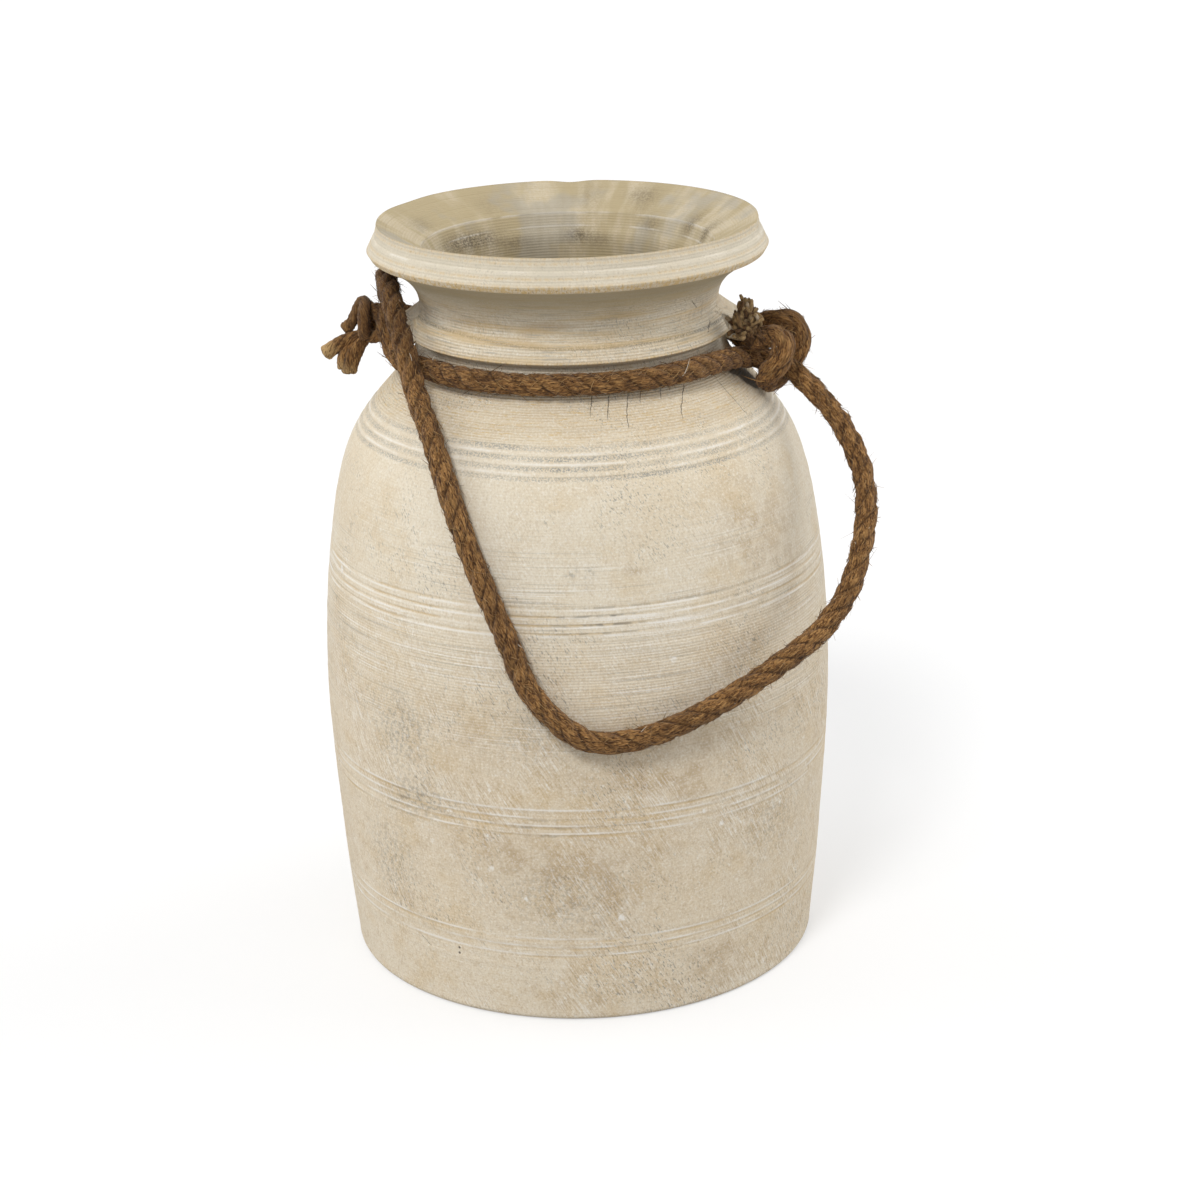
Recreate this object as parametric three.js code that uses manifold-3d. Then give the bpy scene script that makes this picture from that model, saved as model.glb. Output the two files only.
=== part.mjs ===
// A hand-turned wooden pot with a flared rim, two carved ears under the neck and a rope handle.
// Millimetres, +Z up, origin at the middle of the base. The ears lie on X, the loop hangs on -Y.

import * as THREE from 'three';
import { mergeVertices } from 'three/addons/utils/BufferGeometryUtils.js';
import Module from 'manifold-3d';

const wasm = await Module();
wasm.setup();

// Driving dimensions of the body: radii, and the rise from each level to the next
const footRadius = 133;
const footRound = 4;
const lowerRadius = 138.6;
const lowerRise = 61;
const bellyRadius = 143.3;
const bellyRise = 93;
const upperRadius = 138;
const upperRise = 80;
const shoulderRadius = 123.4;
const shoulderRise = 62;
const shoulderTopRadius = 88;
const shoulderTopRise = 45;

// Driving dimensions of the rope groove, the collar above it, the neck and the rim
const ropeGrooveRadius = 85.3;
const ropeGrooveRise = 2.5;
const collarRadius = 89.4;
const collarRise = 14.3;
const collarUndercut = 2.6;
const collarTopRadius = 86.2;
const collarTopRise = 9.4;
const neckRadius = 82.2;
const neckRise = 5.8;
const coveRise = 16.5;
const rimRadius = 109.8;
const rimRise = 30.5;
const rimLowerEdgeInset = 1.9;
const rimLowerEdgeDrop = 3.2;
const rimStepRadius = 106.4;
const rimStepRise = 8;
const rimStepDepth = 1;
const lipRadius = 104;
const lipRise = 6.6;

// The funnel inside the rim, the throat and the hollow, from the lip and from the wood's thickness
const neckWall = 9.7;
const funnelStepReach = 8;
const funnelStepDrop = 13.6;
const funnelFootReach = 3;
const funnelFootDrop = 22.6;
const throatTopDrop = 33.6;
const throatFootDrop = 6;
const wallThickness = 14;
const floorThickness = 20;
const floorRound = 26;

// Levels that follow from the rises
const baseRadius = footRadius - footRound;
const lowerHeight = footRound + lowerRise;
const bellyHeight = lowerHeight + bellyRise;
const upperHeight = bellyHeight + upperRise;
const shoulderHeight = upperHeight + shoulderRise;
const shoulderTopHeight = shoulderHeight + shoulderTopRise;
const collarHeight = shoulderTopHeight + collarRise;
const collarTopHeight = collarHeight + collarTopRise;
const neckHeight = collarTopHeight + neckRise;
const rimHeight = neckHeight + rimRise;
const rimStepHeight = rimHeight + rimStepRise;
const lipHeight = rimStepHeight + lipRise;
const throatRadius = neckRadius - neckWall;
const throatTopHeight = lipHeight - throatTopDrop;
const throatFootHeight = shoulderTopHeight - throatFootDrop;

// Bands of turned grooves, each by its lowest groove
const grooveBands = [
  { height: lowerHeight - 24.6, count: 3, pitch: 5.1, width: 3, depth: 0.9 },
  { height: bellyHeight - 43.5, count: 4, pitch: 4.6, width: 3, depth: 0.9 },
  { height: upperHeight - 10.1, count: 4, pitch: 4.7, width: 2.6, depth: 0.9 },
  { height: shoulderHeight + 6.6, count: 4, pitch: 4.5, width: 3.6, depth: 1.2 },
];

// The ears, carved out of the same wood on both sides of the neck
const earEndRadius = 99;
const earRootHalfWidth = 30;
const earEndHalfWidth = 12;
const earRootDrop = 1.5;
const earTopDrop = 12.5;
const earEndThickness = 10.2;
const earRootDepth = 7;
const earBevel = 1.2;

// The rope and the gap that it keeps to what it touches
const ropeRadius = 6.25;
const leftKnotRopeRadius = 5.2;
const rightKnotRopeRadius = 5.9;
const strandRadius = 4.4;
const strandRootRadius = 3.7;
const strandTipRadius = 3.1;
const frayRadius = 8.5;
const frayRootRadius = 5.9;
const frayTipRadius = 6;
const ropeGap = 0.45;
const ropeSides = 10;
const freeStep = 25;
const heldStep = 12.5;
const knotStep = 4.5;
const gapSampleStep = 2;
const fewestSteps = 2;

// How finely round forms are faceted
const latheSegments = 48;
const bodyStep = 26;
const arcSteps = 3;
const coveSteps = 6;
const hollowSteps = 10;
const bodyCurveSamples = 400;
const ropeCurveSamples = 800;
const mergeTolerance = 1e-4;

const woodMaterial = new THREE.MeshStandardMaterial({ color: 0xcfc3ab, roughness: 0.85, metalness: 0 });
const ropeMaterial = new THREE.MeshStandardMaterial({ color: 0x6b4a2c, roughness: 0.95, metalness: 0 });

const model = new THREE.Group();

function addPiece(name, geometry, material) {
  const piece = new THREE.Mesh(geometry, material);
  piece.name = name;
  model.add(piece);
  return piece;
}

function toSolid(geometry) {
  const plain = geometry.clone();
  plain.deleteAttribute('normal');
  plain.deleteAttribute('uv');
  const merged = mergeVertices(plain, mergeTolerance);
  const vertProperties = new Float32Array(merged.attributes.position.array);
  const triVerts = new Uint32Array(merged.index.array);
  return new wasm.Manifold(new wasm.Mesh({ numProp: 3, vertProperties, triVerts }));
}

function toGeometry(solid) {
  const mesh = solid.getMesh();
  const geometry = new THREE.BufferGeometry();
  geometry.setAttribute('position', new THREE.BufferAttribute(new Float32Array(mesh.vertProperties), 3));
  geometry.setIndex(new THREE.BufferAttribute(new Uint32Array(mesh.triVerts), 1));
  geometry.computeVertexNormals();
  return geometry;
}

const at = (radius, height) => new THREE.Vector2(radius, height);

// The body's outer line, a smooth curve from the foot to the top of the shoulder
const bodyCurve = new THREE.SplineCurve([
  at(footRadius, footRound),
  at(lowerRadius, lowerHeight),
  at(bellyRadius, bellyHeight),
  at(upperRadius, upperHeight),
  at(shoulderRadius, shoulderHeight),
  at(shoulderTopRadius, shoulderTopHeight),
]);
const bodyCurvePoints = bodyCurve.getPoints(bodyCurveSamples);

function bodyRadiusAt(height) {
  const above = bodyCurvePoints.findIndex((point) => point.y >= height);
  if (above <= 0) {
    return above === 0 ? footRadius : shoulderTopRadius;
  }
  const low = bodyCurvePoints[above - 1];
  const high = bodyCurvePoints[above];
  return THREE.MathUtils.mapLinear(height, low.y, high.y, low.x, high.x);
}

// Plain heights up the body, with each groove's two edges and its bottom put between them
function bodyOutline() {
  const grooves = grooveBands.flatMap((band) => Array.from({ length: band.count }, (_, index) => ({
    ...band,
    middle: band.height + index * band.pitch,
  })));
  const inGroove = (height) => grooves.some((groove) => Math.abs(groove.middle - height) < groove.width);
  const stepCount = Math.round((shoulderTopHeight - footRound) / bodyStep);
  const outline = [];
  for (let step = 0; step <= stepCount; step += 1) {
    const height = THREE.MathUtils.lerp(footRound, shoulderTopHeight, step / stepCount);
    if (!inGroove(height)) {
      outline.push(at(bodyRadiusAt(height), height));
    }
  }
  for (const groove of grooves) {
    const low = groove.middle - groove.width / 2;
    const high = groove.middle + groove.width / 2;
    outline.push(at(bodyRadiusAt(low), low));
    outline.push(at(bodyRadiusAt(groove.middle) - groove.depth, groove.middle));
    outline.push(at(bodyRadiusAt(high), high));
  }
  return outline.sort((one, other) => one.y - other.y);
}

// The inside of the body, a wall's thickness in from the outer line
function hollowOutline() {
  const top = bodyRadiusAt(shoulderHeight) - wallThickness;
  const bulge = wallThickness / 4;
  const floorCorner = bodyRadiusAt(floorThickness + floorRound) - wallThickness;
  const hollowCurve = new THREE.SplineCurve([
    at(throatRadius, throatFootHeight),
    at((throatRadius + top) / 2, (throatFootHeight + shoulderHeight) / 2 + bulge),
    at(top, shoulderHeight),
    at(bodyRadiusAt(upperHeight) - wallThickness, upperHeight),
    at(bodyRadiusAt(bellyHeight) - wallThickness, bellyHeight),
    at(floorCorner, floorThickness + floorRound),
  ]);
  const floorCurve = new THREE.QuadraticBezierCurve(
    at(floorCorner, floorThickness + floorRound),
    at(floorCorner, floorThickness),
    at(floorCorner - floorRound, floorThickness),
  );
  return [
    ...hollowCurve.getPoints(hollowSteps),
    ...floorCurve.getPoints(arcSteps).slice(1),
    at(0, floorThickness),
  ];
}

// Foot, collar, neck and rim, from the base up to the lip and down the funnel into the throat
function potOutline() {
  const footTop = at(footRadius, footRound);
  const foot = new THREE.QuadraticBezierCurve(at(baseRadius, 0), at(footRadius, 0), footTop);
  const neck = at(neckRadius, neckHeight);
  const neckFoot = new THREE.QuadraticBezierCurve(
    at(collarTopRadius, collarTopHeight),
    at(neckRadius, (collarTopHeight + neckHeight) / 2),
    neck,
  );
  const cove = new THREE.QuadraticBezierCurve(
    neck,
    at(neckRadius, neckHeight + coveRise),
    at(rimRadius - rimLowerEdgeInset, rimHeight - rimLowerEdgeDrop),
  );
  const funnelFootHeight = lipHeight - funnelFootDrop;
  const throat = new THREE.QuadraticBezierCurve(
    at(throatRadius + funnelFootReach, funnelFootHeight),
    at(throatRadius, funnelFootHeight - funnelFootReach),
    at(throatRadius, throatTopHeight),
  );
  return [
    at(0, 0),
    ...foot.getPoints(arcSteps).slice(0, -1),
    ...bodyOutline(),
    at(ropeGrooveRadius, shoulderTopHeight + ropeGrooveRise),
    at(ropeGrooveRadius, collarHeight - collarUndercut),
    at(collarRadius, collarHeight),
    ...neckFoot.getPoints(arcSteps).slice(0, -1),
    ...cove.getPoints(coveSteps),
    at(rimRadius, rimHeight),
    at(rimStepRadius, rimStepHeight - rimStepDepth),
    at(rimStepRadius - rimStepDepth, rimStepHeight),
    at(lipRadius, lipHeight),
    at(throatRadius + funnelStepReach, lipHeight - funnelStepDrop),
    ...throat.getPoints(arcSteps),
    ...hollowOutline(),
  ];
}

// An ear: its side view, sloping down from the neck, cut to its plan, which narrows towards the end
function earSolid(turnDegrees) {
  const rootRadius = neckRadius - earRootDepth;
  const rootTop = neckHeight - earRootDrop;
  const rootUnderside = collarHeight - collarUndercut;
  const endTop = neckHeight - earTopDrop;
  const endUnderside = endTop - earEndThickness;
  const side = new THREE.Shape([
    at(rootRadius, rootUnderside),
    at(ropeGrooveRadius, rootUnderside),
    at(earEndRadius - earBevel, endUnderside),
    at(earEndRadius, endUnderside + earBevel),
    at(earEndRadius, endTop - earBevel),
    at(earEndRadius - earBevel, endTop),
    at(neckRadius, rootTop),
    at(rootRadius, rootTop),
  ]);
  const plan = new THREE.Shape([
    at(rootRadius, -earRootHalfWidth),
    at(earEndRadius, -earEndHalfWidth),
    at(earEndRadius, earEndHalfWidth),
    at(rootRadius, earRootHalfWidth),
  ]);
  const across = new THREE.ExtrudeGeometry(side, { depth: 2 * earRootHalfWidth, bevelEnabled: false });
  across.translate(0, 0, -earRootHalfWidth);
  across.rotateX(Math.PI / 2);
  const upright = new THREE.ExtrudeGeometry(plan, { depth: rootTop - endUnderside, bevelEnabled: false });
  upright.translate(0, 0, endUnderside);
  return toSolid(across).intersect(toSolid(upright)).rotate([0, 0, turnDegrees]);
}

const turned = toSolid(new THREE.LatheGeometry(potOutline(), latheSegments).rotateX(Math.PI / 2));
const pot = turned.add(earSolid(0)).add(earSolid(180));
addPiece('pot', toGeometry(pot), woodMaterial);

// A round section for the rope's tubes
function ropeSection(radius) {
  const section = new THREE.Shape();
  for (let side = 0; side < ropeSides; side += 1) {
    const angle = (2 * Math.PI * side) / ropeSides;
    const point = at(radius * Math.cos(angle), radius * Math.sin(angle));
    if (side === 0) {
      section.moveTo(point.x, point.y);
    } else {
      section.lineTo(point.x, point.y);
    }
  }
  section.closePath();
  return section;
}

// The least gap between two stretches of one tube that lie further apart along it than a tight half turn
function leastGapToItself(points, radius) {
  const tightestBend = 1.5 * radius;
  const apart = Math.PI * tightestBend;
  let least = Infinity;
  const along = [0];
  for (let index = 1; index < points.length; index += 1) {
    along.push(along[index - 1] + points[index].distanceTo(points[index - 1]));
  }
  for (let first = 0; first < points.length; first += 1) {
    for (let second = first + 1; second < points.length; second += 1) {
      if (along[second] - along[first] > apart) {
        least = Math.min(least, points[first].distanceTo(points[second]) - 2 * radius);
      }
    }
  }
  return least;
}

// Across the front under the collar, from beside the left ear to the hitch beside the right one
const neckRopeRoute = [
  [-96.8, -15.5, 345.8],
  [-92, -26, 347],
  [-85.5, -40, 348.3],
  [-76, -53.2, 349.8],
  [-58.5, -72, 349.9],
  [-36, -85.4, 349.8],
  [0, -92.7, 349.8],
  [36, -85.4, 349.8],
  [58.5, -72, 349.9],
  [75, -55.6, 349.5],
  [86.5, -38.5, 347.9],
  [94.5, -25, 345.4],
  [103.5, -19.5, 342.8],
  [112.5, -18.3, 340.4],
];

// From the hitch to the loop, the stretch that bends as the loop is lifted
const handleRightEndRoute = [
  [119.5, -19.2, 337.4],
  [125.2, -22, 333.3],
];

// The loop that hangs down the front, from the right end of the handle to the left one
const handleRoute = [
  [130.5, -25.5, 328.6],
  [137.1, -31, 322.4],
  [145.7, -39.5, 312.4],
  [152.4, -47, 300.9],
  [157, -54, 289.3],
  [158.9, -61, 277.8],
  [158.6, -68, 266.5],
  [156.1, -75.5, 255.4],
  [152.3, -82.5, 245.3],
  [148.2, -89.5, 235.4],
  [142.7, -95.5, 227.4],
  [131.1, -106, 215.6],
  [113.2, -118.5, 205.6],
  [94.5, -129, 196.3],
  [68.6, -140.5, 185],
  [43.1, -147.5, 175.8],
  [17.9, -150.6, 171.7],
  [5.4, -150.8, 173.3],
  [-7, -150.5, 180.8],
  [-18.7, -149.2, 192.9],
  [-27, -146.3, 205],
  [-36.5, -141.8, 230],
  [-47, -135, 254.5],
  [-56.5, -126.2, 278.5],
  [-64.5, -114.4, 301],
  [-72, -97.5, 322],
  [-77.5, -83, 333],
  [-82.3, -70, 343],
];

// From the loop up over the left ear under the rim, and down behind the ear
const riserRoute = [
  [-86.2, -61, 352],
  [-89.2, -55.5, 358.5],
  [-92, -48, 365.5],
  [-94.5, -38.5, 373],
  [-97, -25, 380],
  [-99.5, -8, 385.5],
  [-101.3, 9, 386.8],
  [-102, 24, 381.3],
  [-102, 35, 372.8],
  [-100.5, 43.5, 364.5],
  [-95.5, 50.5, 356.5],
  [-86.5, 55, 352.3],
];

// Across the back under the collar, from the riser's foot to the hitch beside the right ear
const backRopeRoute = [
  [-73, 59.5, 350.2],
  [-58.5, 72, 349.9],
  [-36, 85.4, 349.8],
  [0, 92.7, 349.8],
  [36, 85.4, 349.8],
  [58.5, 72, 349.9],
  [76, 53.2, 349.8],
  [85.5, 40, 348.3],
  [92, 26, 347],
];

// The hitch: out from under the right ear, over the top, down behind the handle, under it and up its front
const rightKnotRoute = [
  [96.8, 15.5, 345.8],
  [100.5, 9, 345.6],
  [106, 4, 348.6],
  [110.3, 1.5, 354.6],
  [114.5, -1.5, 359.3],
  [119, -3.5, 361],
  [123.6, -5, 359.6],
  [127, -6, 354],
  [127.6, -6.2, 348],
  [125.6, -6, 341],
  [122.3, -5.8, 334.4],
  [118, -9.5, 328.6],
  [112.8, -18, 326.4],
  [109, -27, 329.6],
  [109.6, -33.5, 336.5],
  [112.8, -36.4, 343.5],
  [115.6, -36.2, 350],
  [116.6, -35.5, 356.5],
  [114.8, -34.8, 362],
  [109.8, -34.4, 365],
];

// A tight turn beside the left ear, round a line that points away from the pot
const leftTurn = { count: 1.05, radius: 7.4, pitch: 11.2, startX: -105.6, middleY: 0, middleZ: 364 };

// From the rope's first end through that turn, and in under the ear
function leftKnotRoute() {
  const pointsPerTurn = 12;
  const pointCount = Math.round(leftTurn.count * pointsPerTurn);
  const route = [[-103.6, -5, 348.4], [-100, -10.5, 345.8]];
  for (let index = 0; index <= pointCount; index += 1) {
    const turn = index / pointsPerTurn;
    const angle = 2 * Math.PI * turn;
    route.unshift([
      leftTurn.startX - leftTurn.pitch * turn,
      leftTurn.middleY + leftTurn.radius * Math.sin(angle),
      leftTurn.middleZ - leftTurn.radius * Math.cos(angle),
    ]);
  }
  return route;
}

// The rope is one length, cut into stretches that each start at the first point of their route
const stretches = [
  { name: 'left_knot', route: leftKnotRoute(), step: knotStep, radius: leftKnotRopeRadius },
  { name: 'neck_rope', route: neckRopeRoute, step: heldStep, radius: ropeRadius },
  { name: 'handle_right_end', route: handleRightEndRoute, step: knotStep, radius: ropeRadius },
  { name: 'handle_rope', route: handleRoute, step: freeStep, radius: ropeRadius },
  { name: 'left_riser', route: riserRoute, step: heldStep, radius: ropeRadius },
  { name: 'back_rope', route: backRopeRoute, step: heldStep, radius: ropeRadius },
  { name: 'right_knot', route: rightKnotRoute, step: knotStep, radius: rightKnotRopeRadius },
];
const wholeRoute = stretches.flatMap((stretch) => stretch.route);
const wholeRope = new THREE.CatmullRomCurve3(
  wholeRoute.map((point) => new THREE.Vector3(...point)),
  false,
  'centripetal',
);

// One stretch of the whole rope, with half of the gap to its neighbours taken off each end
class RopeStretch extends THREE.Curve {
  constructor(firstPoint, lastPoint) {
    super();
    this.arcLengthDivisions = ropeCurveSamples;
    const spans = wholeRoute.length - 1;
    this.from = this.movedBy(firstPoint / spans, ropeGap / 2);
    this.to = this.movedBy(lastPoint / spans, -ropeGap / 2);
  }

  movedBy(place, distance) {
    const nudge = 1e-5;
    const low = wholeRope.getPoint(Math.max(0, place - nudge));
    const high = wholeRope.getPoint(Math.min(1, place + nudge));
    return THREE.MathUtils.clamp(place + (distance * 2 * nudge) / low.distanceTo(high), 0, 1);
  }

  getPoint(share) {
    return wholeRope.getPoint(THREE.MathUtils.lerp(this.from, this.to, share));
  }
}

let pointsBefore = 0;
for (const { name, route, step, radius } of stretches) {
  const lastPoint = Math.min(pointsBefore + route.length, wholeRoute.length - 1);
  const curve = new RopeStretch(pointsBefore, lastPoint);
  const length = curve.getLength();
  const gap = leastGapToItself(curve.getSpacedPoints(Math.round(length / gapSampleStep)), radius);
  const steps = Math.max(fewestSteps, Math.round(length / step));
  const tube = new THREE.ExtrudeGeometry(ropeSection(radius), { steps, extrudePath: curve });
  addPiece(name, tube, ropeMaterial);
  console.log(`${name}: length ${length.toFixed(1)} mm, least gap to itself ${gap.toFixed(2)} mm`);
  pointsBefore = lastPoint;
}

// A loose rope end, round in section, from its root to its tip
function addTail(name, outline, root, tip) {
  const start = new THREE.Vector3(...root);
  const direction = new THREE.Vector3(...tip).sub(start);
  const length = direction.length();
  const points = outline.map(({ along, radius }) => at(radius, along * length));
  const closed = [at(0, 0), ...points, at(0, length)];
  const piece = addPiece(name, new THREE.LatheGeometry(closed, ropeSides), ropeMaterial);
  piece.position.copy(start);
  piece.quaternion.setFromUnitVectors(new THREE.Vector3(0, 1, 0), direction.normalize());
}

// One strand of the rope, untwisted from the others and cut off
const strandOutline = [
  { along: 0, radius: strandRootRadius },
  { along: 0.2, radius: strandRadius },
  { along: 0.85, radius: strandRadius },
  { along: 1, radius: strandTipRadius },
];

// The rope's whole end, opening into loose yarns
const frayOutline = [
  { along: 0, radius: frayRootRadius },
  { along: 0.8, radius: frayRadius },
  { along: 1, radius: frayTipRadius },
];

addTail('left_tail_upper', strandOutline, [-123.9, 3.2, 356.3], [-136.3, -1, 346.5]);
addTail('left_tail_lower', strandOutline, [-118.6, -1, 351.2], [-123.5, -5, 333.5]);
addTail('right_tail', frayOutline, [108.6, -34.4, 365.6], [92.5, -38, 375.6]);

export default model;
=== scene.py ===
# Looks of a hand-turned, bleached wooden pot with a hairy three-strand rope handle, in metres.
import itertools
import math

import bpy
import numpy as np
from mathutils import Matrix, Vector


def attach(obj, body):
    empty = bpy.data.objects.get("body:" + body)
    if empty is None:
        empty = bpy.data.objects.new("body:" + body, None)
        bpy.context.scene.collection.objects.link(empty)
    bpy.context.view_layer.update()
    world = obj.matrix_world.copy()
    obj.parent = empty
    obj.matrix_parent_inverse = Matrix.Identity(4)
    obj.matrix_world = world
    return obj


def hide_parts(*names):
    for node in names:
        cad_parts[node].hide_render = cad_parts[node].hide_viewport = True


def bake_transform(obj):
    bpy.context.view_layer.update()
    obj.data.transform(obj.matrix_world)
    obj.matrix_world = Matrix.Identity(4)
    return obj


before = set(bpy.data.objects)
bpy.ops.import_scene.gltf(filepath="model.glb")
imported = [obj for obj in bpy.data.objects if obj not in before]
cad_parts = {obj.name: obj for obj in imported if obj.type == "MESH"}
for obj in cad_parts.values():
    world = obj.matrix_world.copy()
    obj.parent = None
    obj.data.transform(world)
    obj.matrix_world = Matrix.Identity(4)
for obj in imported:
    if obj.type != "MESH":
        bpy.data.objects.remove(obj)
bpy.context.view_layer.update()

# The camera, at the photograph's place and with its slight roll
CAMERA_LENS = 82.5
CAMERA_SENSOR = 36.0
CAMERA_PLACE = (0.0133, -1.4801, 0.7233)
CAMERA_TILT = math.radians(70.45)
CAMERA_ROLL = math.radians(-1.294)

# The rope: three strands laid to the right, thinner where it is pulled tight in the knots
ROPE_RADIUS = 0.0058
THINNEST_ROPE = 0.00455
LEFT_KNOT_RADIUS = 0.0052
RIGHT_KNOT_RADIUS = 0.0056
HITCH_LOOP_RADIUS = 0.0063
STRAND_COUNT = 3
NECK_LAY = 0.034
LOOP_LAY = 0.041
STRAND_CROWN = 1.03
STRAND_CREVICE = 0.83
STRAND_ROUNDNESS = 2.3
ROPE_STEP = 0.0006
ROPE_SIDES = 72
RADIUS_CHANGE = 0.016
FIBRE_ROUGHNESS = 0.00036
# Lumps on the rope: lumps for each metre across and along, seed and weight
ROPE_LUMPS = [((850, 850, 170), 1, 1.0), ((1700, 1700, 330), 2, 0.6), ((80, 80, 75), 3, 1.2)]
# Powers of the two kinds of curve through points, samples between two points, steps between the points
# of the cord's path, and a length that keeps a division safe
UNIFORM = 0.0
CENTRIPETAL = 0.5
ROUTE_SAMPLES = 40
PATH_STEP = 6
TINY = 1e-12
# Whole numbers that scramble a cell's place and a seed for the noise in the shapes
SCRAMBLE_X = 374761393
SCRAMBLE_Y = 668265263
SCRAMBLE_Z = 1442695041
SCRAMBLE_SEED = 974711
SCRAMBLE_AGAIN = 1274126177
FIRST_SHIFT = 13
SECOND_SHIFT = 16
LOW_32_BITS = 0xFFFFFFFF
LOW_16_BITS = 0xFFFF

# Hairs for each metre of rope, those that stand off, those that lie along it and pale lint
STRAY_HAIRS = 700
LYING_HAIRS = 6500
LINT_HAIRS = 30
HAIR_STEPS = 6
HAIR_SIDES = 3
HAIR_END_GAP = 0.002
HAIR_ROOT_DEPTH = 0.0003
HAIR_TAPER = 0.7
HAIR_PALENESS = 0.7
HAIR_PALE_POWER = 1.5
LINT_PALENESS = 2.0
NECK_HAIR_SEED = 11
HANDLE_HAIR_SEED = 12
BACK_HAIR_SEED = 13
# Lowest and highest length, lift, fall and thickness of the hairs, and mean and spread of veer and curl
STRAY_REACH = (0.002, 0.007)
LYING_REACH = (0.0022, 0.0055)
STRAY_LIFT = (0.1, 0.6)
LYING_LIFT = (0.1, 0.3)
STRAY_FALL = 0.1
LYING_FALL = (0.1, 0.3)
STRAY_THICKNESS = (0.00007, 0.00013)
LYING_THICKNESS = (0.00016, 0.0003)
STRAY_VEER = (0.0, 0.5)
LYING_VEER = (0.0, 0.45)
HAIR_CURL = (0.0, 0.5)

# Loose yarns and strands: their turn, fibres, lumps for each metre, and tapered cut end
YARN_TURN = 0.006
YARN_FIRST_SIDE = (0.31, 0.83, 0.46)
YARN_FIBRE_RADIUS = 0.004
YARN_SHIFT = 0.37
YARN_LUMPS = (1100, 1100, 190)
YARN_LUMP_SEED = 20
YARN_LUMP_SIZE = 0.16
YARN_WAVES = (420, 420, 110)
YARN_WAVE_SEED = 60
YARN_WAVE_SIZE = 0.1
# Lump values between which painted shade darkens the yarn's sunken places
YARN_CREVICE = (0.2, -0.7)
YARN_END = 0.0012
YARN_END_TAPER = 0.35
STRAND_SIDES = 18
STRAND_SAMPLES = 8
CUT_END = (0.58, 0.95)

# Heights between which the rope grows darker under the rim, with dirt on it and painted shade of the rim
DIRT_AND_SHADE_LOW = 0.348
DIRT_AND_SHADE_HIGH = 0.372

# The rope's route, from its first end at the left ear to its second at the right ear
LEFT_CORE_ROUTE = [
    (-0.1135, 0.001, 0.3672), (-0.1095, 0.001, 0.3688), (-0.1055, -0.0002, 0.369),
    (-0.1022, -0.0038, 0.3675), (-0.1006, -0.009, 0.3635), (-0.0992, -0.0138, 0.3582),
]
NECK_ROUTE = [
    (-0.0968, -0.0185, 0.353), (-0.0933, -0.0245, 0.3495), (-0.0903, -0.031, 0.3486),
    (-0.0855, -0.04, 0.3492), (-0.076, -0.0532, 0.3498), (-0.0585, -0.072, 0.3499),
    (-0.036, -0.0854, 0.3498), (0.0, -0.0927, 0.3498), (0.036, -0.0854, 0.3498), (0.0585, -0.072, 0.3499),
    (0.075, -0.0556, 0.3495), (0.0865, -0.0385, 0.3479), (0.0945, -0.025, 0.3454),
    (0.1035, -0.0195, 0.3428), (0.1125, -0.0183, 0.3404),
]
HANDLE_RIGHT_END_ROUTE = [
    (0.1193, -0.0192, 0.3376), (0.125, -0.022, 0.3334),
]
HANDLE_ROUTE = [
    (0.1304, -0.0255, 0.3286), (0.137, -0.031, 0.3223), (0.1455, -0.0395, 0.3123), (0.152, -0.047, 0.3008),
    (0.1564, -0.054, 0.2893), (0.1581, -0.061, 0.2778), (0.1578, -0.068, 0.2665), (0.1555, -0.0755, 0.2554),
    (0.1523, -0.0825, 0.2453), (0.1482, -0.0895, 0.2354), (0.1427, -0.0955, 0.2274),
    (0.1311, -0.106, 0.2156), (0.1132, -0.1185, 0.2056), (0.0945, -0.129, 0.1963), (0.0686, -0.1405, 0.185),
    (0.0431, -0.1475, 0.1758), (0.0179, -0.1506, 0.1717), (0.0054, -0.1508, 0.1733),
    (-0.007, -0.1505, 0.1808), (-0.0187, -0.1492, 0.1929), (-0.027, -0.1463, 0.205),
    (-0.0365, -0.1418, 0.23), (-0.047, -0.135, 0.2545), (-0.0565, -0.1262, 0.2785),
    (-0.0645, -0.1144, 0.301), (-0.072, -0.0975, 0.322), (-0.0775, -0.083, 0.333), (-0.0823, -0.07, 0.343),
]
RISER_ROUTE = [
    (-0.085, -0.061, 0.352), (-0.0869, -0.0555, 0.3585), (-0.0894, -0.048, 0.3655),
    (-0.0925, -0.0385, 0.373), (-0.0953, -0.025, 0.38), (-0.0983, -0.008, 0.3855), (-0.1003, 0.009, 0.3868),
    (-0.1012, 0.023, 0.3795), (-0.1016, 0.033, 0.3705), (-0.1, 0.0425, 0.362), (-0.0952, 0.0502, 0.3553),
    (-0.0865, 0.055, 0.3523),
]
BACK_ROUTE = [
    (-0.073, 0.0595, 0.3502), (-0.0585, 0.072, 0.3499), (-0.036, 0.0854, 0.3498), (0.0, 0.0927, 0.3498),
    (0.036, 0.0854, 0.3498), (0.0585, 0.072, 0.3499), (0.076, 0.0532, 0.3498), (0.0855, 0.04, 0.3483),
    (0.092, 0.026, 0.347),
]
RIGHT_KNOT_ROUTE = [
    (0.0962, 0.0175, 0.3452), (0.1003, 0.0105, 0.345), (0.1035, 0.0045, 0.3518), (0.1073, 0.0015, 0.3575),
    (0.1124, -0.0015, 0.36), (0.118, -0.0035, 0.3604), (0.1226, -0.005, 0.3592), (0.1262, -0.006, 0.3542),
    (0.1268, -0.0062, 0.348), (0.1247, -0.006, 0.3412), (0.1208, -0.0062, 0.3358),
    (0.1165, -0.0102, 0.3322),
]
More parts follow.
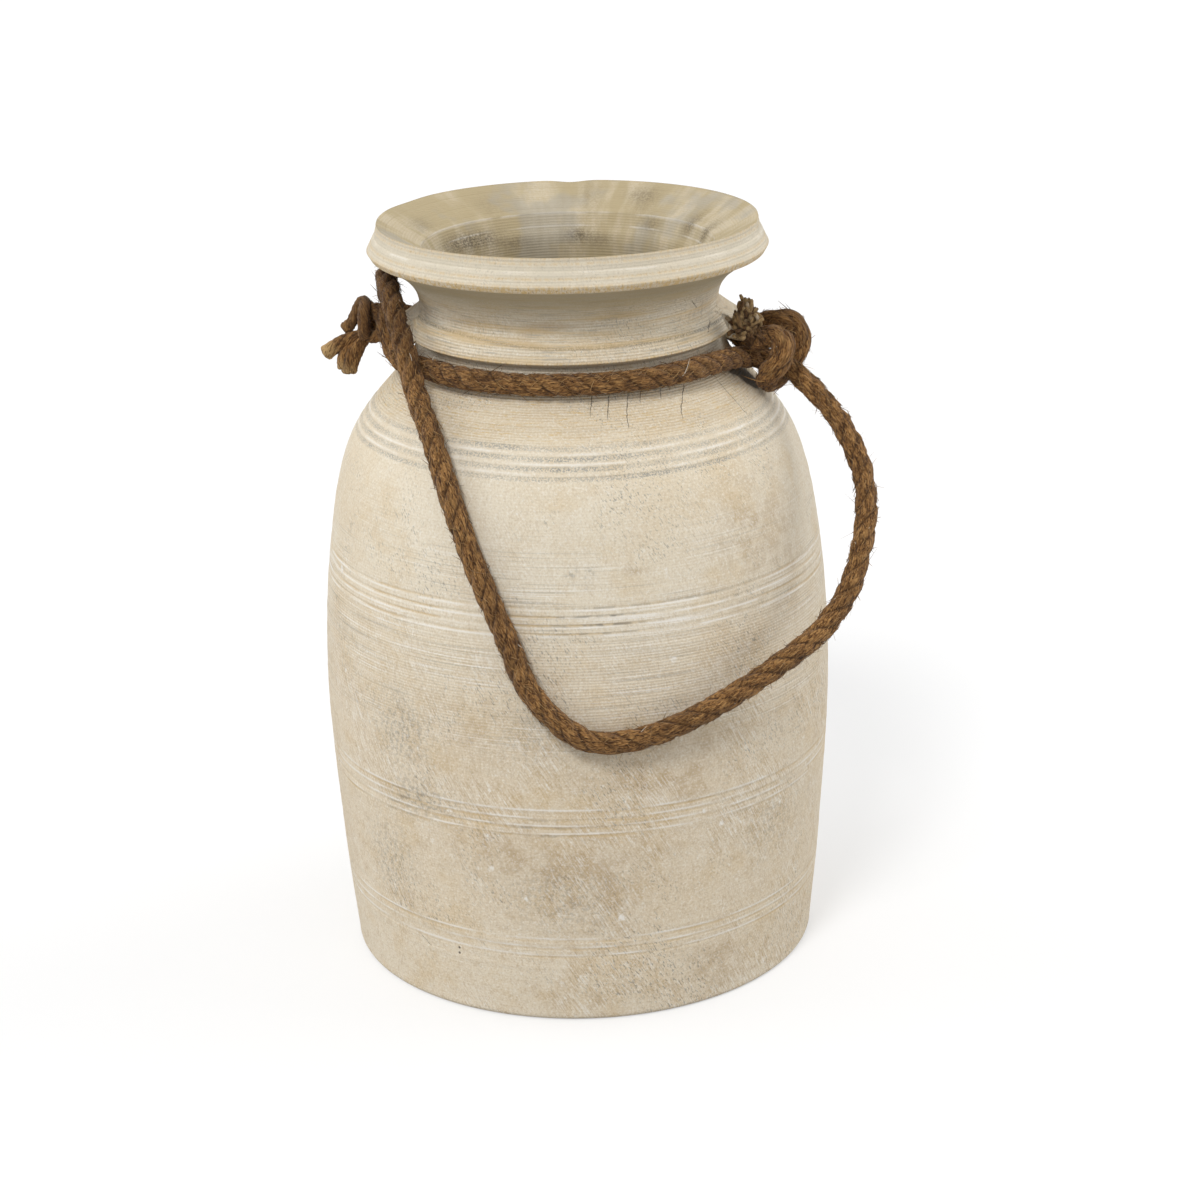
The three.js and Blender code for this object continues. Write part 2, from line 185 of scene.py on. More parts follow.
HITCH_LOOP_ROUTE = [
    (0.1112, -0.0185, 0.3302), (0.107, -0.0272, 0.3328), (0.1082, -0.0338, 0.3386),
    (0.112, -0.0364, 0.3438), (0.1147, -0.0362, 0.3492), (0.1152, -0.034, 0.3545),
    (0.1124, -0.0302, 0.3572), (0.108, -0.028, 0.3566), (0.1035, -0.029, 0.3562), (0.0985, -0.0318, 0.3575),
]

# The strands of the left knot, each point with its radius: the wrap that ends in a short tail,
# the strand below the rope's end and the one behind it
WRAP_STRAND = [
    (-0.1112, 0.0065, 0.3585, 0.0032), (-0.1128, 0.0, 0.3562, 0.0033), (-0.1131, -0.0065, 0.3588, 0.0033),
    (-0.1127, -0.0092, 0.3648, 0.0034), (-0.1122, -0.0065, 0.371, 0.0034), (-0.112, 0.0, 0.374, 0.0034),
    (-0.114, 0.0045, 0.3735, 0.0034), (-0.1163, 0.0052, 0.3705, 0.0032), (-0.1181, 0.0048, 0.3668, 0.003),
    (-0.1199, 0.0042, 0.3632, 0.003), (-0.1224, 0.0035, 0.3602, 0.0036), (-0.1252, 0.0028, 0.3582, 0.0036),
]
LOWER_STRAND = [
    (-0.112, 0.004, 0.3572, 0.0032), (-0.1092, -0.0032, 0.3558, 0.0034), (-0.1058, -0.0058, 0.3568, 0.0034),
    (-0.1026, -0.0068, 0.3598, 0.0032), (-0.1008, -0.0055, 0.364, 0.003),
]
BACK_STRAND = [
    (-0.111, 0.0045, 0.3712, 0.0034), (-0.1084, 0.0078, 0.367, 0.0036), (-0.1072, 0.0082, 0.3615, 0.0036),
    (-0.1085, 0.0065, 0.357, 0.0034), (-0.1105, 0.002, 0.3558, 0.003),
]
UPPER_TAIL_STRAND = [
    (-0.1115, 0.001, 0.3585, 0.0028), (-0.115, 0.001, 0.3565, 0.003), (-0.1185, 0.0005, 0.3552, 0.0033),
    (-0.1221, 0.0, 0.3537, 0.0036), (-0.127, -0.0005, 0.3514, 0.004), (-0.1322, -0.001, 0.3486, 0.0043),
    (-0.1362, -0.001, 0.3461, 0.0042),
]
LOWER_TAIL_STRANDS = [
    [
        (-0.1135, 0.0015, 0.3555, 0.0028), (-0.1178, 0.0, 0.3518, 0.003), (-0.1221, -0.0012, 0.349, 0.0031),
        (-0.1252, -0.0022, 0.3458, 0.0032), (-0.126, -0.0032, 0.342, 0.0032),
        (-0.1258, -0.004, 0.3378, 0.0032),
    ],
    [
        (-0.1125, -0.0005, 0.356, 0.0028), (-0.1163, -0.002, 0.3513, 0.003),
        (-0.1196, -0.003, 0.3474, 0.0032), (-0.1219, -0.0042, 0.3437, 0.0033),
        (-0.1232, -0.0048, 0.3395, 0.0033), (-0.1238, -0.0052, 0.3356, 0.0033),
    ],
    [
        (-0.111, -0.0005, 0.356, 0.0028), (-0.115, -0.001, 0.3513, 0.003),
        (-0.1172, -0.0022, 0.3474, 0.003), (-0.119, -0.0034, 0.3437, 0.003),
        (-0.1206, -0.0042, 0.3395, 0.003), (-0.1216, -0.0048, 0.3356, 0.003),
    ],
]
# The strands of the left knot and of its lower tail, each with the paleness of its cut end
KNOT_STRANDS = [(WRAP_STRAND, 0.15), (LOWER_STRAND, 0.0), (BACK_STRAND, 0.0), (UPPER_TAIL_STRAND, 1.0)]
KNOT_SEED = 31
TAIL_STRANDS = [(strand, 0.7) for strand in LOWER_TAIL_STRANDS]
TAIL_SEED = 41

# The frayed second end: where its yarns start and pass, with the spread of each place, and their shape
FRAY_ROOT = (0.1022, -0.0295, 0.3565)
FRAY_ROOT_SPREAD = 0.006
FRAY_MIDDLE = (0.0958, -0.0345, 0.361)
FRAY_MIDDLE_SPREAD = 0.0056
FRAY_YARN_RADIUS = 0.00085
FRAY_CURL = 0.0026
FRAY_WAVES = (8, 17)
FRAY_THICKNESS = (0.75, 1.15)
FRAY_ROOT_SHARE = 0.85
FRAY_TIP_GROWTH = 0.55
FRAY_TIP = (0.75, 0.92)
FRAY_PALENESS = 1.5
FRAY_PALE_END = (0.55, 0.88)
FRAY_STEPS = 36
FRAY_SIDES = 8
FRAY_SEED = 51
# Each tuft of the fray: middle, spread and number of yarns
FRAY_TUFTS = [
    ((0.0942, -0.0362, 0.3782), 0.0036, 30), ((0.0898, -0.038, 0.3715), 0.0032, 22),
    ((0.0902, -0.0402, 0.3637), 0.003, 18), ((0.1004, -0.0378, 0.371), 0.0038, 26),
    ((0.0955, -0.0392, 0.3668), 0.0044, 20), ((0.0838, -0.038, 0.3688), 0.0003, 1),
]

# The pot's outer line, radius and height at each level
FOOT_RADIUS = 0.133
FOOT_ROUND = 0.004
BODY_LEVELS = [
    (0.133, 0.004), (0.1386, 0.065), (0.1433, 0.158), (0.138, 0.238), (0.1234, 0.3), (0.088, 0.345),
]
ROPE_GROOVE_FOOT = (0.0853, 0.3475)
ROPE_GROOVE_TOP = (0.0853, 0.3567)
COLLAR_EDGE = (0.0894, 0.3593)
COLLAR_TOP = (0.0862, 0.3687)
NECK_FOOT_BEND = (0.0822, 0.3716)
NECK = (0.0822, 0.3745)
COVE_BEND = (0.0822, 0.391)
RIM_LOWER_EDGE = (0.1079, 0.4018)
RIM_EDGE = (0.1098, 0.405)
RIM_STEP_FOOT = (0.1064, 0.412)
RIM_STEP_TOP = (0.1054, 0.413)
LIP = (0.104, 0.4196)
FUNNEL_STEP = (0.0805, 0.406)
FUNNEL_FOOT = (0.0755, 0.397)
THROAT_BEND = (0.0725, 0.394)
THROAT_TOP = (0.0725, 0.386)
THROAT_FOOT = (0.0725, 0.339)
WALL = 0.014
FLOOR = 0.02
FLOOR_ROUND = 0.026

# Bands of turned grooves: height of the lowest, count, pitch, width and depth,
# then how far above each groove a line of chalk lies and how many of them have one
GROOVE_BANDS = [
    (0.0404, 3, 0.0051, 0.0018, 0.00024, 0.0015, 3), (0.1145, 4, 0.0046, 0.0018, 0.00024, 0.0015, 4),
    (0.2279, 4, 0.0047, 0.0014, 0.00026, -0.0012, 4), (0.3066, 4, 0.0045, 0.0027, 0.0006, 0.0023, 3),
]
# Where the lower bands have dark dashes: angle, height, half width in degrees, half height and strength
DARK_GROOVES = [
    (9.0, 0.235, 15, 0.014, 1.0), (36.0, 0.235, 9, 0.014, 0.6), (-44.0, 0.121, 6, 0.014, 1.0),
    (-9.0, 0.119, 7, 0.01, 0.7), (-42.0, 0.046, 7, 0.01, 0.6), (40.0, 0.121, 12, 0.012, 0.5),
    (120.0, 0.235, 20, 0.014, 0.8), (-150.0, 0.121, 22, 0.014, 0.8),
]
# Painted shadow of the hitch on the shoulder below it, given like the dark dashes
HITCH_SHADOW = [
    (78.0, 0.3345, 6, 0.0055, 1.0), (73.0, 0.3395, 6, 0.0035, 0.9), (80.0, 0.3295, 5, 0.0045, 0.9),
]
# How much of a groove's width its floor and its brim take, and how worn the grooves are
GROOVE_FLOOR = 0.22
GROOVE_BRIM = 0.6
GROOVE_WEAR = 0.62
GROOVE_WEAR_LIMITS = (0.05, 1.1)
SHOULDER_WEAR = 0.6
SHOULDER_BAND = 0.29
CHALK_WIDTH = 0.0005
# Noise in the pot's shape, read at this radius: lumps for each metre across and along, seed and size
SPOT_RADIUS = 0.14
POT_NOISE = {
    "groove_wobble": ((14, 14, 40), 8, 0.0005),
    "broad_wear": ((15, 15, 90), 4, 0.55),
    "fine_wear": ((48, 48, 200), 14, 0.35),
    "out_of_round": ((9, 9, 12), 5, 0.00035),
    "tool_waves": ((16, 16, 330), 6, 0.00012),
    "carved_ears": ((70, 70, 90), 7, 0.0004),
}

# The chalk line on the rim's bevel, and its ochre lines: height, half width and strength
RIM_CHALK = 0.4122
RIM_CHALK_WIDTH = 0.0007
BEVEL_WEAR = [(RIM_EDGE[1], 0.0011, 0.75), (0.4165, 0.0007, 0.55), (0.4092, 0.0007, 0.55)]
# Edges worn golden where these stretches start, with their strength
EDGE_WEAR = {"collar": 0.95, "funnel": 0.7}
EDGE_WEAR_WIDTH = 0.0013
# Between which shares of the cove the shade under the rim grows
UNDER_RIM = (0.0, 0.75)
# Fine steps on the rim's bevel: height, width and depth
RIM_LINES = [
    (0.4172, 0.0005, 0.0004), (0.4095, 0.00045, 0.0003), (0.4072, 0.0004, 0.0002),
]
# Chalky rings in the funnel: radius, and half width of the line
FUNNEL_CHALK = [
    (0.0802, 0.00045), (0.0765, 0.0004),
]
# Rings in the funnel: radius, width and depth
FUNNEL_RINGS = [
    (0.0985, 0.0007, 0.0003), (0.0905, 0.0008, 0.0003), (0.0835, 0.0007, 0.0004),
]
# Low places in the lip: angle in degrees from the front towards the right, half width and drop
LIP_DIPS = [
    (179.0, 5.0, 0.0012), (78.0, 3.0, 0.001), (-120.0, 9.0, 0.0006),
]
LIP_DIP_HEIGHT = 0.006
LIP_DIP_WIDTH = 0.008

# The ears on both sides of the neck: reach, half widths, and heights at the root and the end
EAR_END = 0.099
EAR_END_HALF_WIDTH = 0.012
EAR_ROOT = 0.0752
EAR_ROOT_HALF_WIDTH = 0.03
EAR_ROOT_TOP = 0.373
EAR_END_TOP = 0.362
EAR_END_UNDERSIDE = 0.3494
EAR_SAG = 0.0009
EAR_SECTOR = math.radians(45)
EAR_EASINGS = 2

# The dark line where the neck meets the collar, lower at the right
SEAM_HEIGHT = 0.3673
SEAM_RISE = 0.0036
SEAM_WIDTH = 0.0008
SEAM_TURN = (0.05, -0.95)

# How finely the pot is divided
BODY_ROW = 0.0022
FINE_ROW = 0.00048
FRONT_COLUMN = math.radians(0.62)
BACK_COLUMN = math.radians(1.2)
EAR_COLUMN = math.radians(0.22)
FRONT_REACH = math.radians(100)
EAR_EDGE_NEAR = math.radians(6)
EAR_EDGE_FAR = math.radians(21.5)
FINE_BELOW = 2.2
FINE_ABOVE = 0.8
BODY_SAMPLES = 120
HOLLOW_SAMPLES = 9
POLE = 0.004
BASE_ROW = 0.018
FLOOR_ROW = 0.012
FOOT_ROWS = 7
CORNER_ROWS = 10
# The outline's stretches from the body to the throat: name, corners, and the spacing of a line's rows
# or the number of a curve's
UPPER_STRETCHES = [
    ("rope_groove", (BODY_LEVELS[-1], ROPE_GROOVE_FOOT), 0.0009),
    ("rope_groove", (ROPE_GROOVE_FOOT, ROPE_GROOVE_TOP), 0.001),
    ("collar_underside", (ROPE_GROOVE_TOP, COLLAR_EDGE), 0.00045),
    ("collar", (COLLAR_EDGE, COLLAR_TOP), 0.0006),
    ("neck_foot", (COLLAR_TOP, NECK_FOOT_BEND, NECK), 14),
    ("cove", (NECK, COVE_BEND, RIM_LOWER_EDGE), 36),
    ("rim_edge", (RIM_LOWER_EDGE, RIM_EDGE), 0.0006),
    ("bevel", (RIM_EDGE, RIM_STEP_FOOT), 0.0006),
    ("bevel", (RIM_STEP_FOOT, RIM_STEP_TOP), 0.0004),
    ("bevel", (RIM_STEP_TOP, LIP), 0.0006),
    ("funnel", (LIP, FUNNEL_STEP), 0.0006),
    ("funnel", (FUNNEL_STEP, FUNNEL_FOOT), 0.0005),
    ("throat", (FUNNEL_FOOT, THROAT_BEND, THROAT_TOP), 8),
    ("throat", (THROAT_TOP, THROAT_FOOT), 0.003),
]
BELOW_RIM = ("foot", "body", "rope_groove", "collar_underside", "collar", "neck_foot", "cove")

# How strongly the turning lines show: on each stretch, elsewhere, and more on the shoulder and the belt
TURNING_STRENGTH = {
    "rope_groove": 0.7, "collar": 0.7, "neck_foot": 0.7, "cove": 0.7, "bevel": 0.4, "rim_edge": 0.4,
    "funnel": 0.45, "throat": 0.45,
}
PLAIN_TURNING = 0.12
SHOULDER_TURNING = 0.88
BELT_TURNING = 0.3
TURNED_SHOULDER = (0.319, 0.326)
TURNED_BELT_FOOT = (0.155, 0.175)
TURNED_BELT_TOP = (0.215, 0.235)

# Marks on the wood. Angles are in degrees from the front towards the right, heights in metres.
# Drying cracks: angle and height of the two ends
CRACKS = [
    (7.4, 0.3425, 6.2, 0.335), (13.1, 0.343, 11.4, 0.333), (19.9, 0.343, 17.4, 0.3326),
    (17.4, 0.3326, 17.1, 0.328), (31.8, 0.342, 30.6, 0.338), (42.0, 0.342, 36.0, 0.332),
    (36.0, 0.332, 35.1, 0.3284), (58.1, 0.339, 60.0, 0.322), (-41.1, 0.0395, -38.5, 0.0351),
    (61.5, 0.3692, 57.8, 0.3645), (62.3, 0.3695, 58.6, 0.3648), (51.0, 0.3835, 56.0, 0.3785),
    (140.0, 0.342, 138.0, 0.326), (-150.0, 0.343, -151.0, 0.331), (-118.0, 0.03, -117.0, 0.085),
    (172.0, 0.0, 171.0, 0.055),
]
# Distances over which a crack fades at its ends, beside it and in depth, and the widest distance kept
CRACK_END = (-0.0012, 0.001)
CRACK_SIDE = (0.0024, 0.0036)
CRACK_DEPTH = (0.008, 0.012)
CRACK_REACH = 0.01
# White chalky flecks: angle, height and radius
FLECKS = [
    (20.8, 0.2584, 0.0016), (21.3, 0.2101, 0.0024), (18.8, 0.2067, 0.0012), (-68.1, 0.2381, 0.0024),
    (-63.3, 0.183, 0.002), (-34.8, 0.1025, 0.0018), (-68.6, 0.042, 0.0022), (-20.2, 0.0925, 0.0022),
    (-23.3, 0.0919, 0.0016), (-17.4, 0.081, 0.0014), (-12.5, 0.0755, 0.0018), (-8.6, 0.0669, 0.0013),
    (-29.6, 0.1229, 0.0017), (-20.6, 0.1124, 0.0013), (8.8, 0.0639, 0.0026), (27.8, 0.121, 0.0017),
    (32.5, 0.1103, 0.0021), (51.0, 0.109, 0.0016), (59.1, 0.0784, 0.0019), (60.5, 0.1396, 0.0018),
    (28.9, 0.151, 0.0013), (120.0, 0.19, 0.002), (155.0, 0.1, 0.0023), (-165.0, 0.21, 0.0018),
    (-130.0, 0.13, 0.0024),
]
# The value far from every fleck
NO_FLECK = -0.01
# Worm holes: angle and height
WORM_HOLES = [
    (-30.0, 0.0388), (-30.1, 0.0355), (128.0, 0.09),
]
# Soft stains: angle, height, half width in degrees, half height and strength
TAN_STAINS = [
    (14.4, 0.2594, 2.4, 0.0011, 1.0), (12.3, 0.2605, 0.9, 0.0019, 1.0), (44.5, 0.269, 9, 0.03, 0.8),
    (1.8, 0.0885, 14, 0.03, 0.75), (32.8, 0.0236, 7, 0.02, 0.9), (-23.4, 0.1732, 10, 0.022, 0.6),
    (-17.8, 0.1048, 13, 0.02, 0.7), (38.2, 0.2127, 8, 0.025, 0.5), (3.6, 0.0129, 16, 0.012, 0.5),
    (13.0, 0.1459, 14, 0.016, 0.7), (28.0, 0.15, 10, 0.03, 0.5), (58.0, 0.25, 8, 0.05, 0.5),
    (110.0, 0.12, 16, 0.04, 0.7), (160.0, 0.2, 18, 0.05, 0.6), (-140.0, 0.08, 20, 0.04, 0.7),
    (-100.0, 0.16, 12, 0.04, 0.5),
]
GREY_STAINS = [
    (-0.6, 0.2602, 1.4, 0.0034, 0.8), (3.4, 0.2596, 1.1, 0.003, 0.8), (3.2, 0.253, 0.9, 0.0016, 0.6),
    (-41.8, 0.1642, 8, 0.02, 0.8), (-49.3, 0.0802, 8, 0.025, 0.6), (-3.8, 0.0765, 12, 0.02, 0.6),
    (-8.0, 0.1709, 10, 0.016, 0.5), (-37.2, 0.1257, 9, 0.01, 0.9), (48.0, 0.1, 10, 0.02, 0.5),
    (57.0, 0.378, 9, 0.009, 0.8), (150.0, 0.15, 14, 0.03, 0.6), (-160.0, 0.23, 14, 0.02, 0.6),
]

# Dark stains inside the funnel and throat, given like the other stains
INNER_STAINS = [
    (172.0, 0.412, 5, 0.006, 0.3), (150.0, 0.412, 5, 0.006, 0.35), (-150.0, 0.411, 6, 0.005, 0.25),
    (177.0, 0.3936, 6, 0.004, 1.0), (-122.0, 0.3965, 12, 0.005, 0.8), (-138.0, 0.3958, 11, 0.0045, 0.9),
    (-157.0, 0.3915, 10, 0.004, 0.6), (166.0, 0.391, 6, 0.004, 0.5), (121.0, 0.4047, 4, 0.006, 0.8),
    (106.0, 0.4031, 4, 0.007, 0.8), (143.0, 0.4008, 5, 0.005, 0.6), (-111.0, 0.4102, 7, 0.003, 0.4),
    (154.0, 0.4138, 5, 0.003, 0.4),
]

# Pitch of the turning lines, and turn of the slanting strokes round the pot for each metre up
TURNING_PITCH = 0.0016
STROKE_TWIST = 4.1

# Colours, linear
WOOD_PALE = (0.74, 0.665, 0.53)
WOOD_LOWER = (0.715, 0.62, 0.475)
WOOD_WARM = (0.66, 0.54, 0.37)
WOOD_TAN = (0.45, 0.325, 0.185)
WOOD_PORE = (0.2, 0.19, 0.165)
WOOD_GREY = (0.36, 0.335, 0.285)
WOOD_BLUE_GREY = (0.3, 0.295, 0.27)
WOOD_OCHRE = (0.62, 0.445, 0.215)
WOOD_BROWN = (0.32, 0.19, 0.075)
WOOD_CHALK = (0.85, 0.83, 0.785)
WOOD_DARK = (0.07, 0.056, 0.042)
WOOD_INSIDE = (0.43, 0.352, 0.215)
WOOD_RIM = (0.615, 0.555, 0.44)
WOOD_UNDER_RIM = (0.33, 0.275, 0.17)
ROPE_LIGHT = (0.43, 0.24, 0.086)
ROPE_MIDDLE = (0.225, 0.106, 0.033)
ROPE_DARK = (0.048, 0.021, 0.007)
ROPE_CUT = (0.52, 0.345, 0.155)
ROPE_LINT = (0.7, 0.63, 0.52)

# Noise in the materials: the place it is read at, lumps for each metre across and along, detail,
# roughness and, where it is swirled, distortion
WOOD_NOISE = {
    "cloud": ("place", 11, 11, 3, 0.55),
    "small_cloud": ("place", 46, 46, 4, 0.6),
    "fine_cloud": ("place", 130, 130, 4, 0.65),
    "blotch_noise": ("place", 95, 95, 4, 0.65),
    "ochre_cloud": ("place", 27, 27, 4, 0.65),
    "grey_mottle": ("place", 430, 430, 3, 0.6),
    "patch": ("place", 24, 24, 2, 0.5),
    "grain": ("place", 1000, 110, 3, 0.6),
    "speck": ("place", 850, 850, 2, 0.7),
    "pore_patch": ("place", 21, 21, 3, 0.6),
    "stipple": ("place", 1150, 1150, 1, 0.5),
    "fleck_edge": ("place", 620, 620, 3, 0.6),
    "dust": ("place", 240, 240, 3, 0.6),
    "inner_grey": ("place", 30, 30, 3, 0.6),
    "hitch_shadow_edge": ("place", 300, 300, 3, 0.5),
    "crack_wiggle": ("place", 420, 420, 2, 0.5),
    "strokes": ("slanted", 1150, 130, 2, 0.55),
    "pores": ("slanted", 1150, 420, 1, 0.5),
    "drift": ("rings", 18, 110, 2, 0.5),
    "wave_gaps": ("rings", 26, 420, 2, 0.5),
    "wide": ("rings", 9, 190, 2, 0.5),
    "dashes": ("rings", 130, 1000, 2, 0.6),
    "fine_lines": ("rings", 13, 1250, 2, 0.6),
    "line_patch": ("rings", 16, 40, 2, 0.5),
    "broken": ("rings", 34, 260, 2, 0.6),
    "dash": ("rings", 170, 260, 1, 0.5),
    "chalk_gaps": ("rings", 30, 200, 2, 0.6),
    "tints": ("rings", 14, 46, 3, 0.6),
    "golden": ("rings", 11, 150, 3, 0.6),
    "scratches": ("rings", 60, 900, 2, 0.6),
    "hatch_noise": ("rings", 620, 150, 2, 0.6),
    "ticks": ("rings", 900, 120, 1, 0.5),
    "blotches": ("running", 1, 1, 3, 0.6),
}
ROPE_NOISE = {
    "fine": ("fibre", 1450, 330, 2, 0.6, 1.0),
    "broad": ("fibre", 480, 140, 2, 0.5, 0.8),
    "cloud": ("fibre", 110, 60, 2, 0.5),
    "patchy": ("fibre", 260, 200, 2, 0.5),
}

# Layers of colour, each laid over those before it. After the colour come the factors of its share:
# a number, a value's name, or a ramp of a value: its name, where it starts and ends, and from what
# to what it goes if that isn't from 0 to 1. A row that starts with a name makes a new value of that name.
WOOD_LAYERS = [
    # Broad warm and grey clouds, stronger on the lower half
    ("lower", ("height", 0.27, 0.15), "outside"),
    (WOOD_LOWER, "lower"),
    # Paler towards the foot: painted light, standing in for light bounced up from the floor
    (WOOD_PALE, ("height", 0.075, 0.01, 0.0, 0.5), "outside"),
    (WOOD_WARM, ("cloud", 0.47, 0.7, 0.0, 0.4)),
    (WOOD_WARM, ("small_cloud", 0.5, 0.68), ("lower", 0.0, 1.0, 0.3, 0.7)),
    (WOOD_TAN, ("fine_cloud", 0.53, 0.7), ("lower", 0.0, 1.0, 0.06, 0.3)),
    (WOOD_PALE, ("fine_cloud", 0.48, 0.34), ("lower", 0.0, 1.0, 0.12, 0.5)),
    ("blotch", ("blotch_noise", 0.35, 0.72)),
    (WOOD_TAN, "tan_stain", ("blotch", 0.0, 1.0, 0.15, 0.85)),
    (WOOD_OCHRE, ("ochre_cloud", 0.52, 0.68, 0.0, 0.26), "outside"),
    (WOOD_PORE, "grey_stain", ("grey_mottle", 0.46, 0.62, 0.1, 0.75)),
    # Lines left by turning
    (WOOD_TAN, ("wave", -0.2, 0.9), ("wave_gaps", 0.3, 0.6), "turning", 0.68),
    (WOOD_GREY, ("wide", 0.5, 0.75), "turning", 0.3),
    ("shoulder", ("height", 0.316, 0.328), ("height", 0.352, 0.348)),
    (WOOD_WARM, "shoulder", 0.4),
    (WOOD_OCHRE, ("dashes", 0.54, 0.7), "shoulder", 0.8),
    ("lined", ("height", 0.15, 0.18), ("height", 0.3, 0.24), ("line_patch", 0.4, 0.58, 0.1, 1.0), "outside"),
    (WOOD_GREY, ("fine_lines", 0.55, 0.68, 0.0, 0.55), "lined"),
    (WOOD_CHALK, ("fine_lines", 0.44, 0.32, 0.0, 0.6), "lined"),
    # Slanting strokes and upright grain
    ("stroked", ("patch", 0.42, 0.62), ("lower", 0.0, 1.0, 0.35, 1.0)),
    (WOOD_TAN, ("strokes", 0.52, 0.66), "stroked", 0.55),
    (WOOD_CHALK, ("strokes", 0.47, 0.33), "stroked", 0.5),
    (WOOD_TAN, ("grain", 0.52, 0.7), 0.2),
    # Specks of tan, chalk and grey
    (WOOD_TAN, ("speck", 0.52, 0.68), ("lower", 0.0, 1.0, 0.24, 0.4)),
    (WOOD_CHALK, ("speck", 0.47, 0.32), 0.4),
    (WOOD_PORE, ("pores", 0.58, 0.7), ("pore_patch", 0.47, 0.62, 0.08, 0.6), "outside"),
    # Grooves: grey stipple in the shoulder's band, dark dashes in the others, each with its chalk line
    ("upper_band", ("height", 0.29, 0.3)),
    ("in_upper_band", "groove", "upper_band"),
    (WOOD_BLUE_GREY, "in_upper_band", ("stipple", 0.42, 0.6, 0.1, 0.85), ("broken", 0.25, 0.6, 0.7, 1.0)),
    ("in_body", "groove", ("height", 0.3, 0.29)),
    ("body_dark", "in_body", ("broken", 0.44, 0.6, 0.05, 0.5)),
    (WOOD_OCHRE, "body_dark"),
    (WOOD_TAN, "body_dark", 0.5),
    (WOOD_PORE, "in_body", ("dash", 0.42, 0.6, 0.2, 1.0), "dark_groove", 0.85),
    ("chalky", "chalk", ("chalk_gaps", 0.42, 0.6, 0.1, 0.95), ("upper_band", 0.0, 1.0, 0.8, 0.65)),
    (WOOD_CHALK, "chalky"),
    (WOOD_PORE, "seam", ("stipple", 0.4, 0.58, 0.2, 0.9)),
    # Flecks and dust of chalk
    (WOOD_CHALK, ("rough_fleck", 0.0023, 0.0041), 0.75),
    (WOOD_CHALK, ("dust", 0.69, 0.78), 0.6),
    # The duller rim, with grey specks, and brown tints on the neck
    (WOOD_RIM, "rim", ("small_cloud", 0.35, 0.6, 0.45, 0.9), ("chalky", 0.0, 1.0, 1.0, 0.2)),
    (WOOD_GREY, "rim", ("speck", 0.55, 0.68, 0.0, 0.25)),
    (WOOD_TAN, "neck", ("tints", 0.47, 0.66, 0.0, 0.55)),
    (WOOD_OCHRE, "neck", ("golden", 0.44, 0.66, 0.0, 0.55)),
    (WOOD_GREY, "neck", ("scratches", 0.55, 0.68, 0.0, 0.5)),
    # Golden end grain along worn edges, and shade under the rim
    ("hatch", ("hatch_noise", 0.36, 0.66)),
    (WOOD_OCHRE, "wear", ("hatch", 0.0, 1.0, 0.25, 0.95)),
    (WOOD_BROWN, "wear", ("ticks", 0.6, 0.72, 0.0, 0.6)),
    (WOOD_UNDER_RIM, "under_rim", 0.75),
    # The inside, browner, with blotches that run down it
    (WOOD_INSIDE, "inside", ("chalky", 0.0, 1.0, 1.0, 0.25), ("blotches", 0.38, 0.62, 0.6, 1.0)),
    (WOOD_DARK, "inner_stain", ("speck", 0.4, 0.6, 0.35, 0.8)),
    (WOOD_GREY, "inside", ("inner_grey", 0.5, 0.66, 0.0, 0.55)),
    # Painted shadow below the hitch, then cracks and worm holes
    (WOOD_DARK, ("rough_hitch_shadow", 0.3, 0.75, 0.0, 0.9)),
    (WOOD_DARK, "all_cracks", 0.8),
    ("turned", "wave", "turning"),
]
ROPE_LAYERS = [
    (ROPE_MIDDLE, ("fine", 0.36, 0.53)),
    (ROPE_LIGHT, ("fine", 0.5, 0.64), 0.85),
    (ROPE_LIGHT, ("broad", 0.52, 0.68), 0.45),
    (ROPE_DARK, ("broad", 0.46, 0.32), 0.5),
    (ROPE_DARK, ("cloud", 0.55, 0.3), 0.4),
    # Painted shade in the crevices between strands, in patches
    (ROPE_DARK, ("crevice", 0.4, 1.0), ("patchy", 0.38, 0.58, 0.25, 0.92)),
    # Darker under the rim: dirt where it is knotted, and painted shade of the rim
    (ROPE_DARK, "dirt_and_shade", 0.5),
    (ROPE_CUT, ("pale", 0.0, 1.0), ("fine", 0.36, 0.56, 0.2, 0.9)),
    (ROPE_LINT, ("pale", 1.2, 1.8)),
]
# Relief: how much each value lifts the surface, then the height of a whole step and the strength
WOOD_RELIEF = {"turned": -0.5, "grain": -0.3, "strokes": 0.25, "speck": 0.5, "all_cracks": -2.5}
WOOD_RELIEF_STEP = (0.00035, 0.6)
ROPE_RELIEF = {"fine": 1.0, "broad": 0.6}
ROPE_RELIEF_STEP = (0.0009, 0.9)
WOOD_ROUGHNESS = ("small_cloud", 0.3, 0.7, 0.78, 0.9)
WOOD_GLOSS = {"Specular IOR Level": 0.25}
ROPE_GLOSS = {"Roughness": 0.85, "Specular IOR Level": 0.2, "Sheen Weight": 0.08, "Sheen Roughness": 0.5}
# The middle of the materials' noise, and how far it shifts turning lines and edges of flecks, the painted
# shadow below the hitch and cracks
NOISE_MIDDLE = 0.5
LINE_DRIFT = 5.0
FLECK_EDGE = 0.005
HITCH_SHADOW_EDGE = 0.6
CRACK_WIGGLE = 0.0016
# Distance from a crack's middle at which it starts to show and is darkest
CRACK_LINE = (0.0003, 0.00008)
WORM_HOLE_EDGE = (0.0009, 0.00054)
# The blotches inside: how often they change round the pot, and in lines across and along it
BLOTCHES_AROUND = (5.0, 5.0, 0.0)
BLOTCHES_ALONG = (2.0, 2.0, 16.0)

# The studio. Lamp azimuths are in degrees from the front towards the right.
FLOOR_HALF = 6.0
FLOOR_COLOUR = (0.5, 0.5, 0.5, 1.0)
WHITE = (1.0, 1.0, 1.0, 1.0)
FLOOR_GLOW = 0.45
